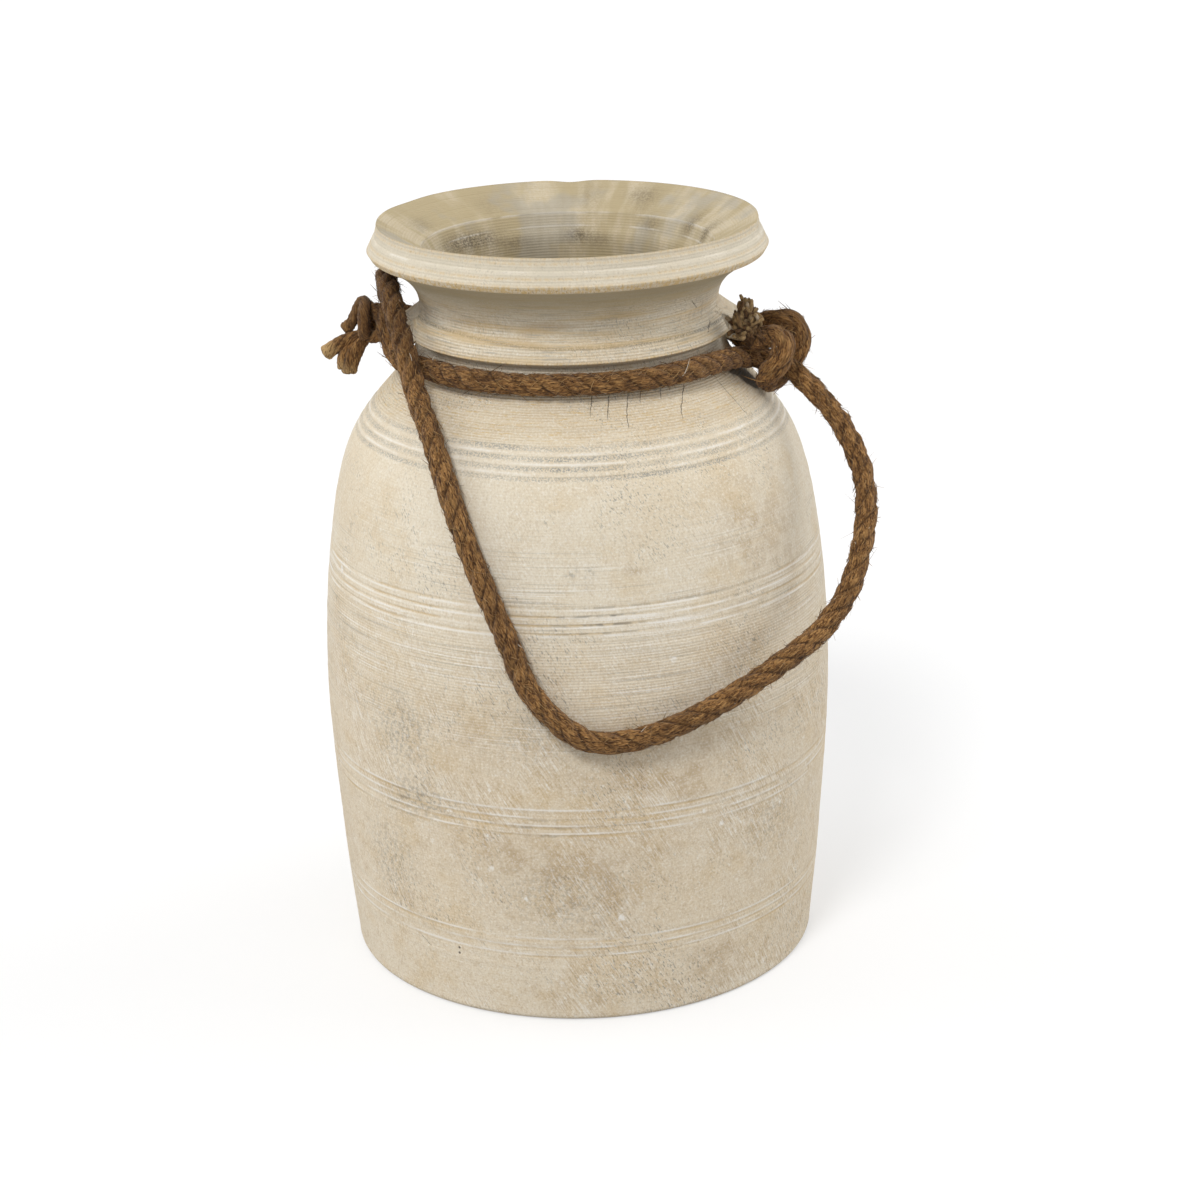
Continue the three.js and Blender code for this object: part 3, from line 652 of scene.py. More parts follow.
# Lamps: azimuth, elevation, spread in degrees and strength
LAMPS = {
    "key": (-23, 46, 15, 1.45),
    "right_fill": (103, 16, 60, 1.35),
    "left_fill": (-104, 16, 60, 0.88),
}
SKY_TOP = 0.8
SKY_LOW = 0.42
LAMP_DISTANCE = 3.0


def smooth(low, high, value):
    """From 0 at low to 1 at high, level at both ends."""
    share = np.clip((value - low) / (high - low), 0.0, 1.0)
    return share * share * (3.0 - 2.0 * share)


def ridge(value, middle, width):
    """A soft ridge, 1 at the middle and fading over the width."""
    return np.exp(-(((value - middle) / width) ** 2))


def lattice(cell_x, cell_y, cell_z, seed):
    """A fixed number from -1 to 1 for each whole-numbered cell."""
    mixed = cell_x * SCRAMBLE_X + cell_y * SCRAMBLE_Y + cell_z * SCRAMBLE_Z + seed * SCRAMBLE_SEED
    mixed = mixed & LOW_32_BITS
    mixed = ((mixed ^ (mixed >> FIRST_SHIFT)) * SCRAMBLE_AGAIN) & LOW_32_BITS
    return ((mixed ^ (mixed >> SECOND_SHIFT)) & LOW_16_BITS) / (LOW_16_BITS / 2) - 1.0


def noise(points, seed=0):
    """Smooth noise from -1 to 1, whose lumps are one unit wide."""
    cell = np.floor(points).astype(np.int64)
    part = points - cell
    part = part * part * (3.0 - 2.0 * part)
    total = np.zeros(points.shape[:-1])
    for corner in itertools.product((0, 1), repeat=3):
        weight = np.prod(np.where(corner, part, 1.0 - part), axis=-1)
        total += weight * lattice(*np.moveaxis(cell + np.array(corner), -1, 0), seed)
    return total


def bezier(start, control, end, count):
    """Points of a quadratic curve, its end left out."""
    share = np.linspace(0.0, 1.0, count, endpoint=False)[:, None]
    start, control, end = (np.array(point, float) for point in (start, control, end))
    return (1 - share) ** 2 * start + 2 * share * (1 - share) * control + share ** 2 * end


def line(start, end, step):
    """Evenly spaced points of a straight line, its end left out."""
    start, end = np.array(start, float), np.array(end, float)
    count = max(2, round(np.linalg.norm(end - start) / step))
    return start + np.linspace(0.0, 1.0, count, endpoint=False)[:, None] * (end - start)


def curve_through(points, power, samples):
    """A Catmull-Rom curve through the points: power 0 is uniform, 0.5 centripetal."""
    points = np.array(points, float)
    ends = np.concatenate([[2 * points[0] - points[1]], points, [2 * points[-1] - points[-2]]])
    share = np.linspace(0.0, 1.0, samples, endpoint=False)[:, None]
    pieces = []
    for before, start, end, after in zip(ends, ends[1:], ends[2:], ends[3:]):
        gap_in, gap, gap_out = (
            np.linalg.norm(b - a) ** power for a, b in ((before, start), (start, end), (end, after))
        )
        slope_in = (start - before) / gap_in - (end - before) / (gap_in + gap) + (end - start) / gap
        slope_out = (end - start) / gap - (after - start) / (gap + gap_out) + (after - end) / gap_out
        slope_in *= gap
        slope_out *= gap
        pieces.append(
            start
            + slope_in * share
            + (3 * (end - start) - 2 * slope_in - slope_out) * share ** 2
            + (2 * (start - end) + slope_in + slope_out) * share ** 3
        )
    return np.concatenate([*pieces, points[-1:]])


def lengths_along(points):
    """The length of the line from its start to each point."""
    return np.concatenate([[0.0], np.cumsum(np.linalg.norm(np.diff(points, axis=0), axis=1))])


def tangents_of(points):
    """Directions along a line."""
    tangents = np.gradient(points, axis=0)
    return tangents / np.linalg.norm(tangents, axis=1)[:, None]


def carried_normals(tangents, first):
    """Normals carried along a line without turning about it."""
    normals = np.zeros_like(tangents)
    normal = np.array(first, float)
    for index, tangent in enumerate(tangents):
        normal = normal - tangent * (normal @ tangent)
        normal /= np.linalg.norm(normal)
        normals[index] = normal
    return normals


def around_line(angles, normal, side):
    """Directions away from a line at each of its steps and each angle."""
    return np.cos(angles)[..., None] * normal[:, None] + np.sin(angles)[..., None] * side[:, None]


def new_object(name, vertices, faces):
    """A smooth-shaded mesh object."""
    mesh = bpy.data.meshes.new(name)
    mesh.from_pydata(vertices.tolist(), [], faces)
    mesh.shade_smooth()
    piece = bpy.data.objects.new(name, mesh)
    bpy.context.scene.collection.objects.link(piece)
    return piece


def add_values(piece, name, values):
    """One number for each vertex, for the material to read."""
    attribute = piece.data.attributes.new(name, "FLOAT", "POINT")
    attribute.data.foreach_set("value", np.asarray(values, np.float32).ravel())


def add_rope_values(piece, fibre, crevice, pale):
    """Each vertex's place among the fibres, its depth between strands and how pale it is."""
    attribute = piece.data.attributes.new("fibre", "FLOAT_VECTOR", "POINT")
    attribute.data.foreach_set("vector", np.asarray(fibre, np.float32).ravel())
    add_values(piece, "crevice", crevice)
    add_values(piece, "pale", pale)


def with_ends(values):
    """Values of a tube's rings, followed by those of its two end points."""
    flat = values.reshape(-1, *values.shape[2:])
    return np.concatenate([flat, values[0].mean(axis=0)[None], values[-1].mean(axis=0)[None]])


def ring_faces(rows, columns):
    """Faces of a closed tube of rings, fanned shut round one end point at each end."""
    index = np.arange(rows * columns).reshape(rows, columns)
    turned = np.roll(index, -1, axis=1)
    quads = np.stack([index[:-1], turned[:-1], turned[1:], index[1:]], axis=-1).reshape(-1, 4)
    first_end = np.full(columns, rows * columns)
    start_fan = np.stack([first_end, turned[0], index[0]], axis=-1)
    end_fan = np.stack([first_end + 1, index[-1], turned[-1]], axis=-1)
    return quads.tolist() + start_fan.tolist() + end_fan.tolist()


def make_camera():
    data = bpy.data.cameras.new("camera")
    data.lens = CAMERA_LENS
    data.sensor_width = CAMERA_SENSOR
    camera = bpy.data.objects.new("camera", data)
    turn = Matrix.Rotation(CAMERA_TILT, 4, "X") @ Matrix.Rotation(CAMERA_ROLL, 4, "Z")
    camera.matrix_world = Matrix.Translation(CAMERA_PLACE) @ turn
    bpy.context.scene.collection.objects.link(camera)
    bpy.context.scene.camera = camera


make_camera()


# The rope


class Rope:
    """The whole rope's centre line, with its frame, thickness and twist at even steps."""

    def __init__(self):
        stretches = [
            (LEFT_CORE_ROUTE, LEFT_KNOT_RADIUS, NECK_LAY),
            (NECK_ROUTE, ROPE_RADIUS, NECK_LAY),
            (HANDLE_RIGHT_END_ROUTE + HANDLE_ROUTE + RISER_ROUTE, ROPE_RADIUS, LOOP_LAY),
            (BACK_ROUTE, ROPE_RADIUS, LOOP_LAY),
            (RIGHT_KNOT_ROUTE, RIGHT_KNOT_RADIUS, LOOP_LAY),
            (HITCH_LOOP_ROUTE, HITCH_LOOP_RADIUS, LOOP_LAY),
        ]
        route = [point for points, _, _ in stretches for point in points]
        fine = curve_through(route, CENTRIPETAL, ROUTE_SAMPLES)
        fine_along = lengths_along(fine)
        self.length = fine_along[-1]
        self.along = np.linspace(0.0, self.length, round(self.length / ROPE_STEP))
        self.line = np.stack([np.interp(self.along, fine_along, fine[:, axis]) for axis in range(3)], axis=1)
        starts = np.cumsum([0] + [len(points) for points, _, _ in stretches[:-1]])
        self.starts = [fine_along[start * ROUTE_SAMPLES] for start in starts]
        self.radius = self.eased([radius for _, radius, _ in stretches])
        turn_rate = self.eased([2 * math.pi / lay for _, _, lay in stretches])
        self.twist = np.cumsum(turn_rate) * (self.along[1] - self.along[0])
        self.tangent = tangents_of(self.line)
        self.normal = carried_normals(self.tangent, np.cross(self.tangent[0], (0.0, 0.0, 1.0)))
        self.side = np.cross(self.tangent, self.normal)

    def eased(self, values):
        """One value for each stretch, spread over the steps and eased where it changes."""
        spread = np.zeros_like(self.along)
        for start, value in zip(self.starts, values):
            spread[self.along >= start] = value
        width = round(RADIUS_CHANGE / ROPE_STEP)
        padded = np.pad(spread, width, mode="edge")
        return np.convolve(padded, np.full(2 * width + 1, 1 / (2 * width + 1)), mode="valid")

    def between(self, start, end):
        """The steps from start to end, in metres along the rope."""
        first, last = np.searchsorted(self.along, (start, end))
        return slice(first, min(last + 1, len(self.along)))

    def surface(self, steps, angles):
        """Radius, and depth in the crevice between strands from 0 to 1, at each step and angle."""
        sector = 2 * math.pi / STRAND_COUNT
        across = (angles - self.twist[steps, None] + sector / 2) % sector - sector / 2
        depth = np.abs(across / (sector / 2)) ** STRAND_ROUNDNESS
        shape = STRAND_CROWN + (STRAND_CREVICE - STRAND_CROWN) * depth
        return self.radius[steps, None] * shape, depth

    def outward(self, steps, angles):
        """The direction away from the centre line at each step and angle."""
        return around_line(angles, self.normal[steps], self.side[steps])

    def make(self, name, start, end):
        """A closed rope mesh from start to end along the rope."""
        steps = self.between(start, end)
        along = self.along[steps, None]
        angles = np.linspace(0.0, 2 * math.pi, ROPE_SIDES, endpoint=False) + 0.0 * along
        radius, depth = self.surface(steps, angles)
        across = ROPE_RADIUS * np.cos(angles), ROPE_RADIUS * np.sin(angles)
        fibre = np.stack([*across, np.broadcast_to(along, angles.shape)], axis=-1)
        for lumps, seed, weight in ROPE_LUMPS:
            radius = radius + FIBRE_ROUGHNESS * weight * noise(fibre * lumps, seed)
        radius = np.maximum(radius, THINNEST_ROPE)
        rings = self.line[steps, None] + radius[..., None] * self.outward(steps, angles)
        piece = new_object(name, with_ends(rings), ring_faces(*rings.shape[:2]))
        # The crevice depth also sets the painted shade between the strands
        add_rope_values(
            piece, with_ends(fibre), with_ends(depth[..., None]), np.zeros(len(piece.data.vertices))
        )
        return piece


def hair_object(name, lines, radii, pale, seed):
    """Many thin hairs in one mesh: lines are (hair, step, 3), radii (hair, step)."""
    count, steps, _ = lines.shape
    chance = np.random.default_rng(seed)
    tangent = np.gradient(lines, axis=1)
    tangent /= np.linalg.norm(tangent, axis=2)[..., None] + TINY
    normal = np.cross(tangent, chance.normal(size=(count, 1, 3)))
    normal /= np.linalg.norm(normal, axis=2)[..., None] + TINY
    side = np.cross(tangent, normal)
    angles = np.arange(HAIR_SIDES) * 2 * math.pi / HAIR_SIDES
    ring = (
        np.cos(angles)[:, None] * normal[:, :, None]
        + np.sin(angles)[:, None] * side[:, :, None]
    )
    vertices = lines[:, :, None] + radii[:, :, None, None] * ring
    index = np.arange(count * steps * HAIR_SIDES).reshape(count, steps, HAIR_SIDES)
    turned = np.roll(index, -1, axis=2)
    quads = np.stack([index[:, :-1], turned[:, :-1], turned[:, 1:], index[:, 1:]], axis=-1).reshape(-1, 4)
    roots = index[:, 0, ::-1]
    tips = index[:, -1]
    piece = new_object(name, vertices.reshape(-1, 3), quads.tolist() + roots.tolist() + tips.tolist())
    place = chance.uniform(0.0, 1.0, (count, 1, 1, 3)) + np.zeros((count, steps, HAIR_SIDES, 1))
    pale = np.broadcast_to(pale[:, None, None], index.shape)
    add_rope_values(piece, place, np.zeros(index.shape), pale)
    return piece


def rope_hairs(rope, name, start, end, seed):
    """Stray hairs that stand off the rope, fibres that lie along it and a few pale bits of lint."""
    chance = np.random.default_rng(seed)
    length = end - start
    stray_count = round(length * STRAY_HAIRS)
    lint_count = round(length * LINT_HAIRS)
    count = stray_count + lint_count + round(length * LYING_HAIRS)
    stray = np.arange(count) < stray_count
    lint = ~stray & (np.arange(count) < stray_count + lint_count)

    def drawn(draw, stray_values, lying_values):
        """A random number for each hair, drawn as its kind asks."""
        return np.where(stray, draw(*stray_values, count), draw(*lying_values, count))

    places = chance.uniform(start + HAIR_END_GAP, end - HAIR_END_GAP, count)
    steps = np.searchsorted(rope.along, places)
    angles = chance.uniform(0.0, 2 * math.pi, (count, 1))
    radius, _ = rope.surface(steps, angles)
    outward = rope.outward(steps, angles)[:, 0]
    tangent = rope.tangent[steps] * chance.choice((-1.0, 1.0), count)[:, None]
    sideways = np.cross(outward, tangent)
    reach = drawn(chance.uniform, STRAY_REACH, LYING_REACH)[:, None, None]
    lift = drawn(chance.uniform, STRAY_LIFT, LYING_LIFT)[:, None, None]
    veer = drawn(chance.normal, STRAY_VEER, LYING_VEER)[:, None, None]
    curl = drawn(chance.normal, HAIR_CURL, HAIR_CURL)[:, None, None]
    fall = np.where(stray, STRAY_FALL, chance.uniform(*LYING_FALL, count))[:, None, None]
    share = np.linspace(0.0, 1.0, HAIR_STEPS)[None, :, None]
    root = rope.line[steps] + (radius - HAIR_ROOT_DEPTH) * outward
    lines = root[:, None] + reach * (
        share * tangent[:, None]
        + (share * lift - share ** 2 * fall) * outward[:, None]
        + (share * veer + share ** 2 * curl) * sideways[:, None]
    )
    thick = drawn(chance.uniform, STRAY_THICKNESS, LYING_THICKNESS)
    radii = thick[:, None] * (1.0 - HAIR_TAPER * share[..., 0] ** 2)
    pale = np.where(lint, LINT_PALENESS, chance.uniform(0.0, HAIR_PALENESS, count) ** HAIR_PALE_POWER)
    return hair_object(name, lines, radii, pale, seed)


rope = Rope()
neck_start, handle_start, back_start = rope.starts[0], rope.starts[2], rope.starts[3]
neck_piece = rope.make("neck_rope_and_left_knot", neck_start, handle_start)
handle_piece = rope.make("handle_loop", handle_start, back_start)
back_piece = rope.make("back_rope_and_right_hitch", back_start, rope.length)
neck_hairs = rope_hairs(rope, "neck_rope_hairs", neck_start, handle_start, NECK_HAIR_SEED)
handle_hairs = rope_hairs(rope, "handle_loop_hairs", handle_start, back_start, HANDLE_HAIR_SEED)
back_hairs = rope_hairs(rope, "back_rope_hairs", back_start, rope.length, BACK_HAIR_SEED)


class Yarns:
    """Loose yarns, each a lumpy tube that ends in a cut brush of fibres, gathered in one mesh."""

    def __init__(self):
        self.vertices = []
        self.faces = []
        self.fibres = []
        self.pales = []
        self.crevices = []
        self.count = 0

    def add(self, points, radii, pale, seed, sides):
        """One yarn along a line, with a radius and a paleness at each point."""
        rows = len(points)
        tangent = tangents_of(points)
        normal = carried_normals(tangent, np.cross(tangent[0], YARN_FIRST_SIDE))
        along = lengths_along(points)[:, None]
        angles = np.linspace(0.0, 2 * math.pi, sides, endpoint=False)[None] + np.zeros((rows, 1))
        turned = angles + along / YARN_TURN
        across = YARN_FIBRE_RADIUS * np.cos(turned), YARN_FIBRE_RADIUS * np.sin(turned)
        shifted = np.broadcast_to(along + YARN_SHIFT * seed, turned.shape)
        fibre = np.stack([*across, shifted], axis=-1)
        lumps = noise(fibre * YARN_LUMPS, YARN_LUMP_SEED + seed)
        coarse = noise(fibre * YARN_WAVES, YARN_WAVE_SEED + seed)
        ends = 1.0 - YARN_END_TAPER * smooth(YARN_END, 0.0, along[-1] - along) ** 2
        radius = radii[:, None] * ends * (1.0 + YARN_LUMP_SIZE * lumps + YARN_WAVE_SIZE * coarse)
        rings = points[:, None] + radius[..., None] * around_line(angles, normal, np.cross(tangent, normal))
        vertices = with_ends(rings)
        self.faces += [[self.count + corner for corner in face] for face in ring_faces(rows, sides)]
        self.vertices.append(vertices)
        self.fibres.append(with_ends(fibre))
        self.pales.append(with_ends(np.broadcast_to(pale[:, None, None], (rows, sides, 1))))
        # Painted shade in the yarn's sunken, thinner places
        self.crevices.append(with_ends(smooth(*YARN_CREVICE, lumps)[..., None]))
        self.count += len(vertices)

    def add_strand(self, strand, pale_share, seed):
        """One cut strand through the points, each with its radius, pale in its last part only."""
        route = np.array(strand)
        points = curve_through(route[:, :3], CENTRIPETAL, STRAND_SAMPLES)
        radii = np.interp(np.arange(len(points)) / STRAND_SAMPLES, np.arange(len(route)), route[:, 3])
        cut_end = smooth(*CUT_END, np.linspace(0.0, 1.0, len(points)))
        self.add(points, radii, pale_share * cut_end, seed, STRAND_SIDES)

    def piece(self, name):
        made = new_object(name, np.concatenate(self.vertices), self.faces)
        values = (np.concatenate(values) for values in (self.fibres, self.crevices, self.pales))
        add_rope_values(made, *values)
        return made


def strands_piece(name, strands, seed):
    """Strands in one piece, each given with the paleness of its end."""
    yarns = Yarns()
    for number, (strand, pale_share) in enumerate(strands):
        yarns.add_strand(strand, pale_share, seed + number)
    return yarns.piece(name)


def in_ball(chance, radius):
    """A random offset no longer than the radius."""
    way = chance.normal(size=3)
    return way / np.linalg.norm(way) * radius * chance.uniform(0.0, 1.0) ** (1 / 3)


def frayed_tail(name, seed):
    """The rope's second end, opened into tufts of curly yarns that are pale at their cut tips."""
    chance = np.random.default_rng(seed)
    yarns = Yarns()
    share = np.linspace(0.0, 1.0, FRAY_STEPS)
    rise = share[:, None]
    tufts = [(middle, spread) for middle, spread, count in FRAY_TUFTS for _ in range(count)]
    for number, (middle, spread) in enumerate(tufts):
        offset = in_ball(chance, 1.0)
        root = np.array(FRAY_ROOT) + FRAY_ROOT_SPREAD * offset
        bend = np.array(FRAY_MIDDLE) + FRAY_MIDDLE_SPREAD * offset
        tip = np.array(middle) + in_ball(chance, spread)
        points = (1 - rise) ** 2 * root + 2 * rise * (1 - rise) * bend + rise ** 2 * tip
        waves = share * chance.uniform(*FRAY_WAVES)
        points = points + FRAY_CURL * np.outer(share * np.sin(waves), in_ball(chance, 1.0))
        points = points + FRAY_CURL * np.outer(share * np.cos(waves), in_ball(chance, 1.0))
        thick = FRAY_YARN_RADIUS * chance.uniform(*FRAY_THICKNESS)
        radii = thick * (FRAY_ROOT_SHARE + FRAY_TIP_GROWTH * smooth(*FRAY_TIP, share))
        pale = chance.uniform(0.0, FRAY_PALENESS) * smooth(*FRAY_PALE_END, share)
        yarns.add(points, radii, pale, seed + number, FRAY_SIDES)
    return yarns.piece(name)


wraps = strands_piece("left_knot_wraps_and_upper_tail", KNOT_STRANDS, KNOT_SEED)
lower_tail = strands_piece("left_lower_tail_strands", TAIL_STRANDS, TAIL_SEED)
right_tail = frayed_tail("right_frayed_tail", FRAY_SEED)

rope_pieces = [
    neck_piece, handle_piece, back_piece, neck_hairs, handle_hairs, back_hairs, wraps, lower_tail, right_tail,
]


def add_dirt_and_shade(piece):
    """How dark the rope is at each vertex: it is darker under the rim, from dirt where it is knotted and from
    painted shade of the rim.
    """
    places = np.empty(3 * len(piece.data.vertices))
    piece.data.vertices.foreach_get("co", places)
    add_values(piece, "dirt_and_shade", smooth(DIRT_AND_SHADE_LOW, DIRT_AND_SHADE_HIGH, places[2::3]))


for piece in rope_pieces:
    add_dirt_and_shade(piece)


# The pot


def body_radius(height):
    curve = curve_through(BODY_LEVELS, UNIFORM, BODY_SAMPLES)
    return np.interp(height, curve[:, 1], curve[:, 0])


def groove_shape(height):
    """Depth of the turned grooves, 0 to 1 inside them, and 0 to 1 on the lines of chalk beside them."""
    depth = np.zeros_like(height)
    inside = np.zeros_like(height)
    chalk = np.zeros_like(height)
    for lowest, count, pitch, width, deep, chalk_rise, chalk_count in GROOVE_BANDS:
        for index in range(count):
            above = height - lowest - index * pitch
            share = 1.0 - smooth(GROOVE_FLOOR * width, GROOVE_BRIM * width, np.abs(above))
            depth = np.maximum(depth, deep * share)
            inside = np.maximum(inside, share)
            if index < chalk_count:
                chalk = np.maximum(chalk, ridge(above, chalk_rise, CHALK_WIDTH))
    return depth, inside, chalk


def body_heights():
    """Heights up the body, closer together in the bands of grooves."""
    heights = [BODY_LEVELS[0][1]]
    while heights[-1] < BODY_LEVELS[-1][1] - FINE_ROW:
        here = heights[-1]
        near = any(
            lowest - FINE_BELOW * pitch < here < lowest + (count + FINE_ABOVE) * pitch
            for lowest, count, pitch, *_ in GROOVE_BANDS
        )
        heights.append(here + (FINE_ROW if near else BODY_ROW))
    return np.array(heights)


def pot_outline():
    """Rows of the outline: radius and height, which stretch each is on, and its share of it."""
    heights = body_heights()
    upper, shoulder = BODY_LEVELS[3:5]
    belly = BODY_LEVELS[2]
    hollow_top = shoulder[0] - WALL
    corner = body_radius(FLOOR + FLOOR_ROUND) - WALL
    hollow = curve_through([
        THROAT_FOOT,
        ((THROAT_FOOT[0] + hollow_top) / 2, (THROAT_FOOT[1] + shoulder[1]) / 2 + WALL / 4),
        (hollow_top, shoulder[1]),
        (upper[0] - WALL, upper[1]),
        (belly[0] - WALL, belly[1]),
        (corner, FLOOR + FLOOR_ROUND),
    ], UNIFORM, HOLLOW_SAMPLES)[:-1]
    floor_edge = (corner - FLOOR_ROUND, FLOOR)
    stretches = [
        ("base", line((POLE, 0.0), (FOOT_RADIUS - FOOT_ROUND, 0.0), BASE_ROW)),
        ("foot", bezier((FOOT_RADIUS - FOOT_ROUND, 0.0), (FOOT_RADIUS, 0.0), BODY_LEVELS[0], FOOT_ROWS)),
        ("body", np.stack([body_radius(heights), heights], axis=1)),
    ]
    for name, corners, rows in UPPER_STRETCHES:
        draw = line if len(corners) == 2 else bezier
        stretches.append((name, draw(*corners, rows)))
    stretches += [
        ("hollow", hollow),
        ("floor", bezier((corner, FLOOR + FLOOR_ROUND), (corner, FLOOR), floor_edge, CORNER_ROWS)),
        ("floor", line(floor_edge, (POLE, FLOOR), FLOOR_ROW)),
    ]
    rows = np.concatenate([points for _, points in stretches])
    names = np.concatenate([np.full(len(points), name) for name, points in stretches])
    shares = np.concatenate([np.linspace(0, 1, len(points), endpoint=False) for _, points in stretches])
    return rows, names, shares


def column_angles():
    """Angles round the pot from the back, closer together at the front and at the ears' sides."""
    angles = [-math.pi]
    while angles[-1] < math.pi - EAR_COLUMN:
        here = angles[-1]
        from_ear = abs(abs(here) - math.pi / 2)
        step = FRONT_COLUMN if abs(here) < FRONT_REACH else BACK_COLUMN
        if EAR_EDGE_NEAR < from_ear < EAR_EDGE_FAR:
            step = EAR_COLUMN
        angles.append(here + step)
    angles = np.array(angles)
    return angles[angles < math.pi - EAR_COLUMN / 2]


def ear_top(radius):
    """Height of an ear's hollowed top at each radius."""
    share = (radius - NECK[0]) / (EAR_END - NECK[0])
    return EAR_ROOT_TOP + share * (EAR_END_TOP - EAR_ROOT_TOP) - 4 * EAR_SAG * share * (1 - share)


def add_ears(radius, height, names, shares, angles):
    """The rows of the collar and the neck's foot, pulled out to the ears where they stand."""
    turn = np.abs(np.abs(angles) - math.pi / 2)
    near = turn < EAR_SECTOR
    share = shares[:, None]
    run = EAR_END - EAR_ROOT
    narrowing = EAR_ROOT_HALF_WIDTH - EAR_END_HALF_WIDTH
    side_reach = narrowing * EAR_ROOT + run * EAR_ROOT_HALF_WIDTH
    side = side_reach / (narrowing * np.cos(turn) + run * np.sin(turn))
    limit = np.minimum(EAR_END / np.cos(turn), side)
    stands = (limit > COLLAR_EDGE[0])[None] & near[None]
    low_share = (limit - ROPE_GROOVE_TOP[0]) / (EAR_END - ROPE_GROOVE_TOP[0])
    low = ROPE_GROOVE_TOP[1] + low_share * (EAR_END_UNDERSIDE - ROPE_GROOVE_TOP[1])
    corners = {
        "collar_underside": (*ROPE_GROOVE_TOP, limit, low),
        "collar": (limit, low, limit, ear_top(limit)),
    }
    for name, (start_radius, start_height, end_radius, end_height) in corners.items():
        there = (names == name)[:, None] & stands
        radius = np.where(there, start_radius + share * (end_radius - start_radius), radius)
        height = np.where(there, start_height + share * (end_height - start_height), height)
    foot = (names == "neck_foot")[:, None] & stands
    foot_radius = limit + share * (NECK[0] - limit)
    radius = np.where(foot, foot_radius, radius)
    height = np.where(foot, ear_top(foot_radius), height)
    on_side = np.isin(names, ("collar", "neck_foot"))[:, None] & (radius <= limit) & ~stands & near
    height = np.where(on_side, np.maximum(height, ear_top(radius)), height)
    return radius, height, stands


OUTLINE = pot_outline()


def place_on_pot(angle, height):
    """A point on the outside of the body or neck, from an angle in degrees and a height."""
    rows, names, _ = OUTLINE
    below_rim = rows[np.isin(names, BELOW_RIM)]
    radius = np.interp(height, below_rim[:, 1], below_rim[:, 0])
    turn = math.radians(angle)
    return np.array([radius * math.sin(turn), -radius * math.cos(turn), height])


def crack_values(points):
    """Signed distance across the nearest crack, and 0 to 1 along it."""
    across = np.full(points.shape[:-1], 2 * CRACK_REACH)
    shown = np.zeros(points.shape[:-1])
    nearest = np.full(points.shape[:-1], np.inf)
    for angle, height, end_angle, end_height in CRACKS:
        start = place_on_pot(angle, height)
        end = place_on_pot(end_angle, end_height)
        way = end - start
        length = np.linalg.norm(way)
        way /= length
        outward = np.array([*((start + end) / 2)[:2], 0.0])
        side = np.cross(way, outward / np.linalg.norm(outward))
        side /= np.linalg.norm(side)
        offset = points - start
        along = offset @ way
        apart = offset @ side
        away = np.linalg.norm(offset - np.clip(along, 0, length)[..., None] * way, axis=-1)
        closer = away < nearest
        nearest = np.where(closer, away, nearest)
        across = np.where(closer, apart, across)
        ends = smooth(*CRACK_END, along) * smooth(*CRACK_END, length - along)
        near = 1.0 - smooth(*CRACK_SIDE, np.abs(apart))
        close_in_depth = 1.0 - smooth(*CRACK_DEPTH, away)
        shown = np.where(closer, ends * near * close_in_depth, shown)
    return np.clip(across, -CRACK_REACH, CRACK_REACH), shown


def turn_from(angles, angle):
    """Degrees from an angle in degrees, the short way round."""
    return (np.degrees(angles) - angle + 180.0) % 360.0 - 180.0


def stain_values(points, angles, stains):
    """Soft stains added up, from 0 to 1."""
    total = np.zeros(points.shape[:-1])
    for angle, height, half_width, half_height, strength in stains:
        across = ridge(turn_from(angles, angle), 0.0, half_width)
        total += strength * across * ridge(points[..., 2], height, half_height)
    return np.clip(total, 0.0, 1.0)


def line_strength(rows, names):
    """How strongly the turning lines show on each row."""
    height = rows[:, 1]
    strength = np.array([TURNING_STRENGTH.get(name, PLAIN_TURNING) for name in names])
    shoulder = SHOULDER_TURNING * smooth(*TURNED_SHOULDER, height)
    belt = BELT_TURNING * smooth(*TURNED_BELT_FOOT, height) * (1.0 - smooth(*TURNED_BELT_TOP, height))
    return strength + (names == "body") * (shoulder + belt)


def pot_noise(spots, name):
    lumps, seed, size = POT_NOISE[name]
    return size * noise(spots * lumps, seed)


def eased_rows(values):
    """Each row drawn halfway towards its neighbours."""
    return (np.roll(values, 1, axis=0) + 2 * values + np.roll(values, -1, axis=0)) / 4


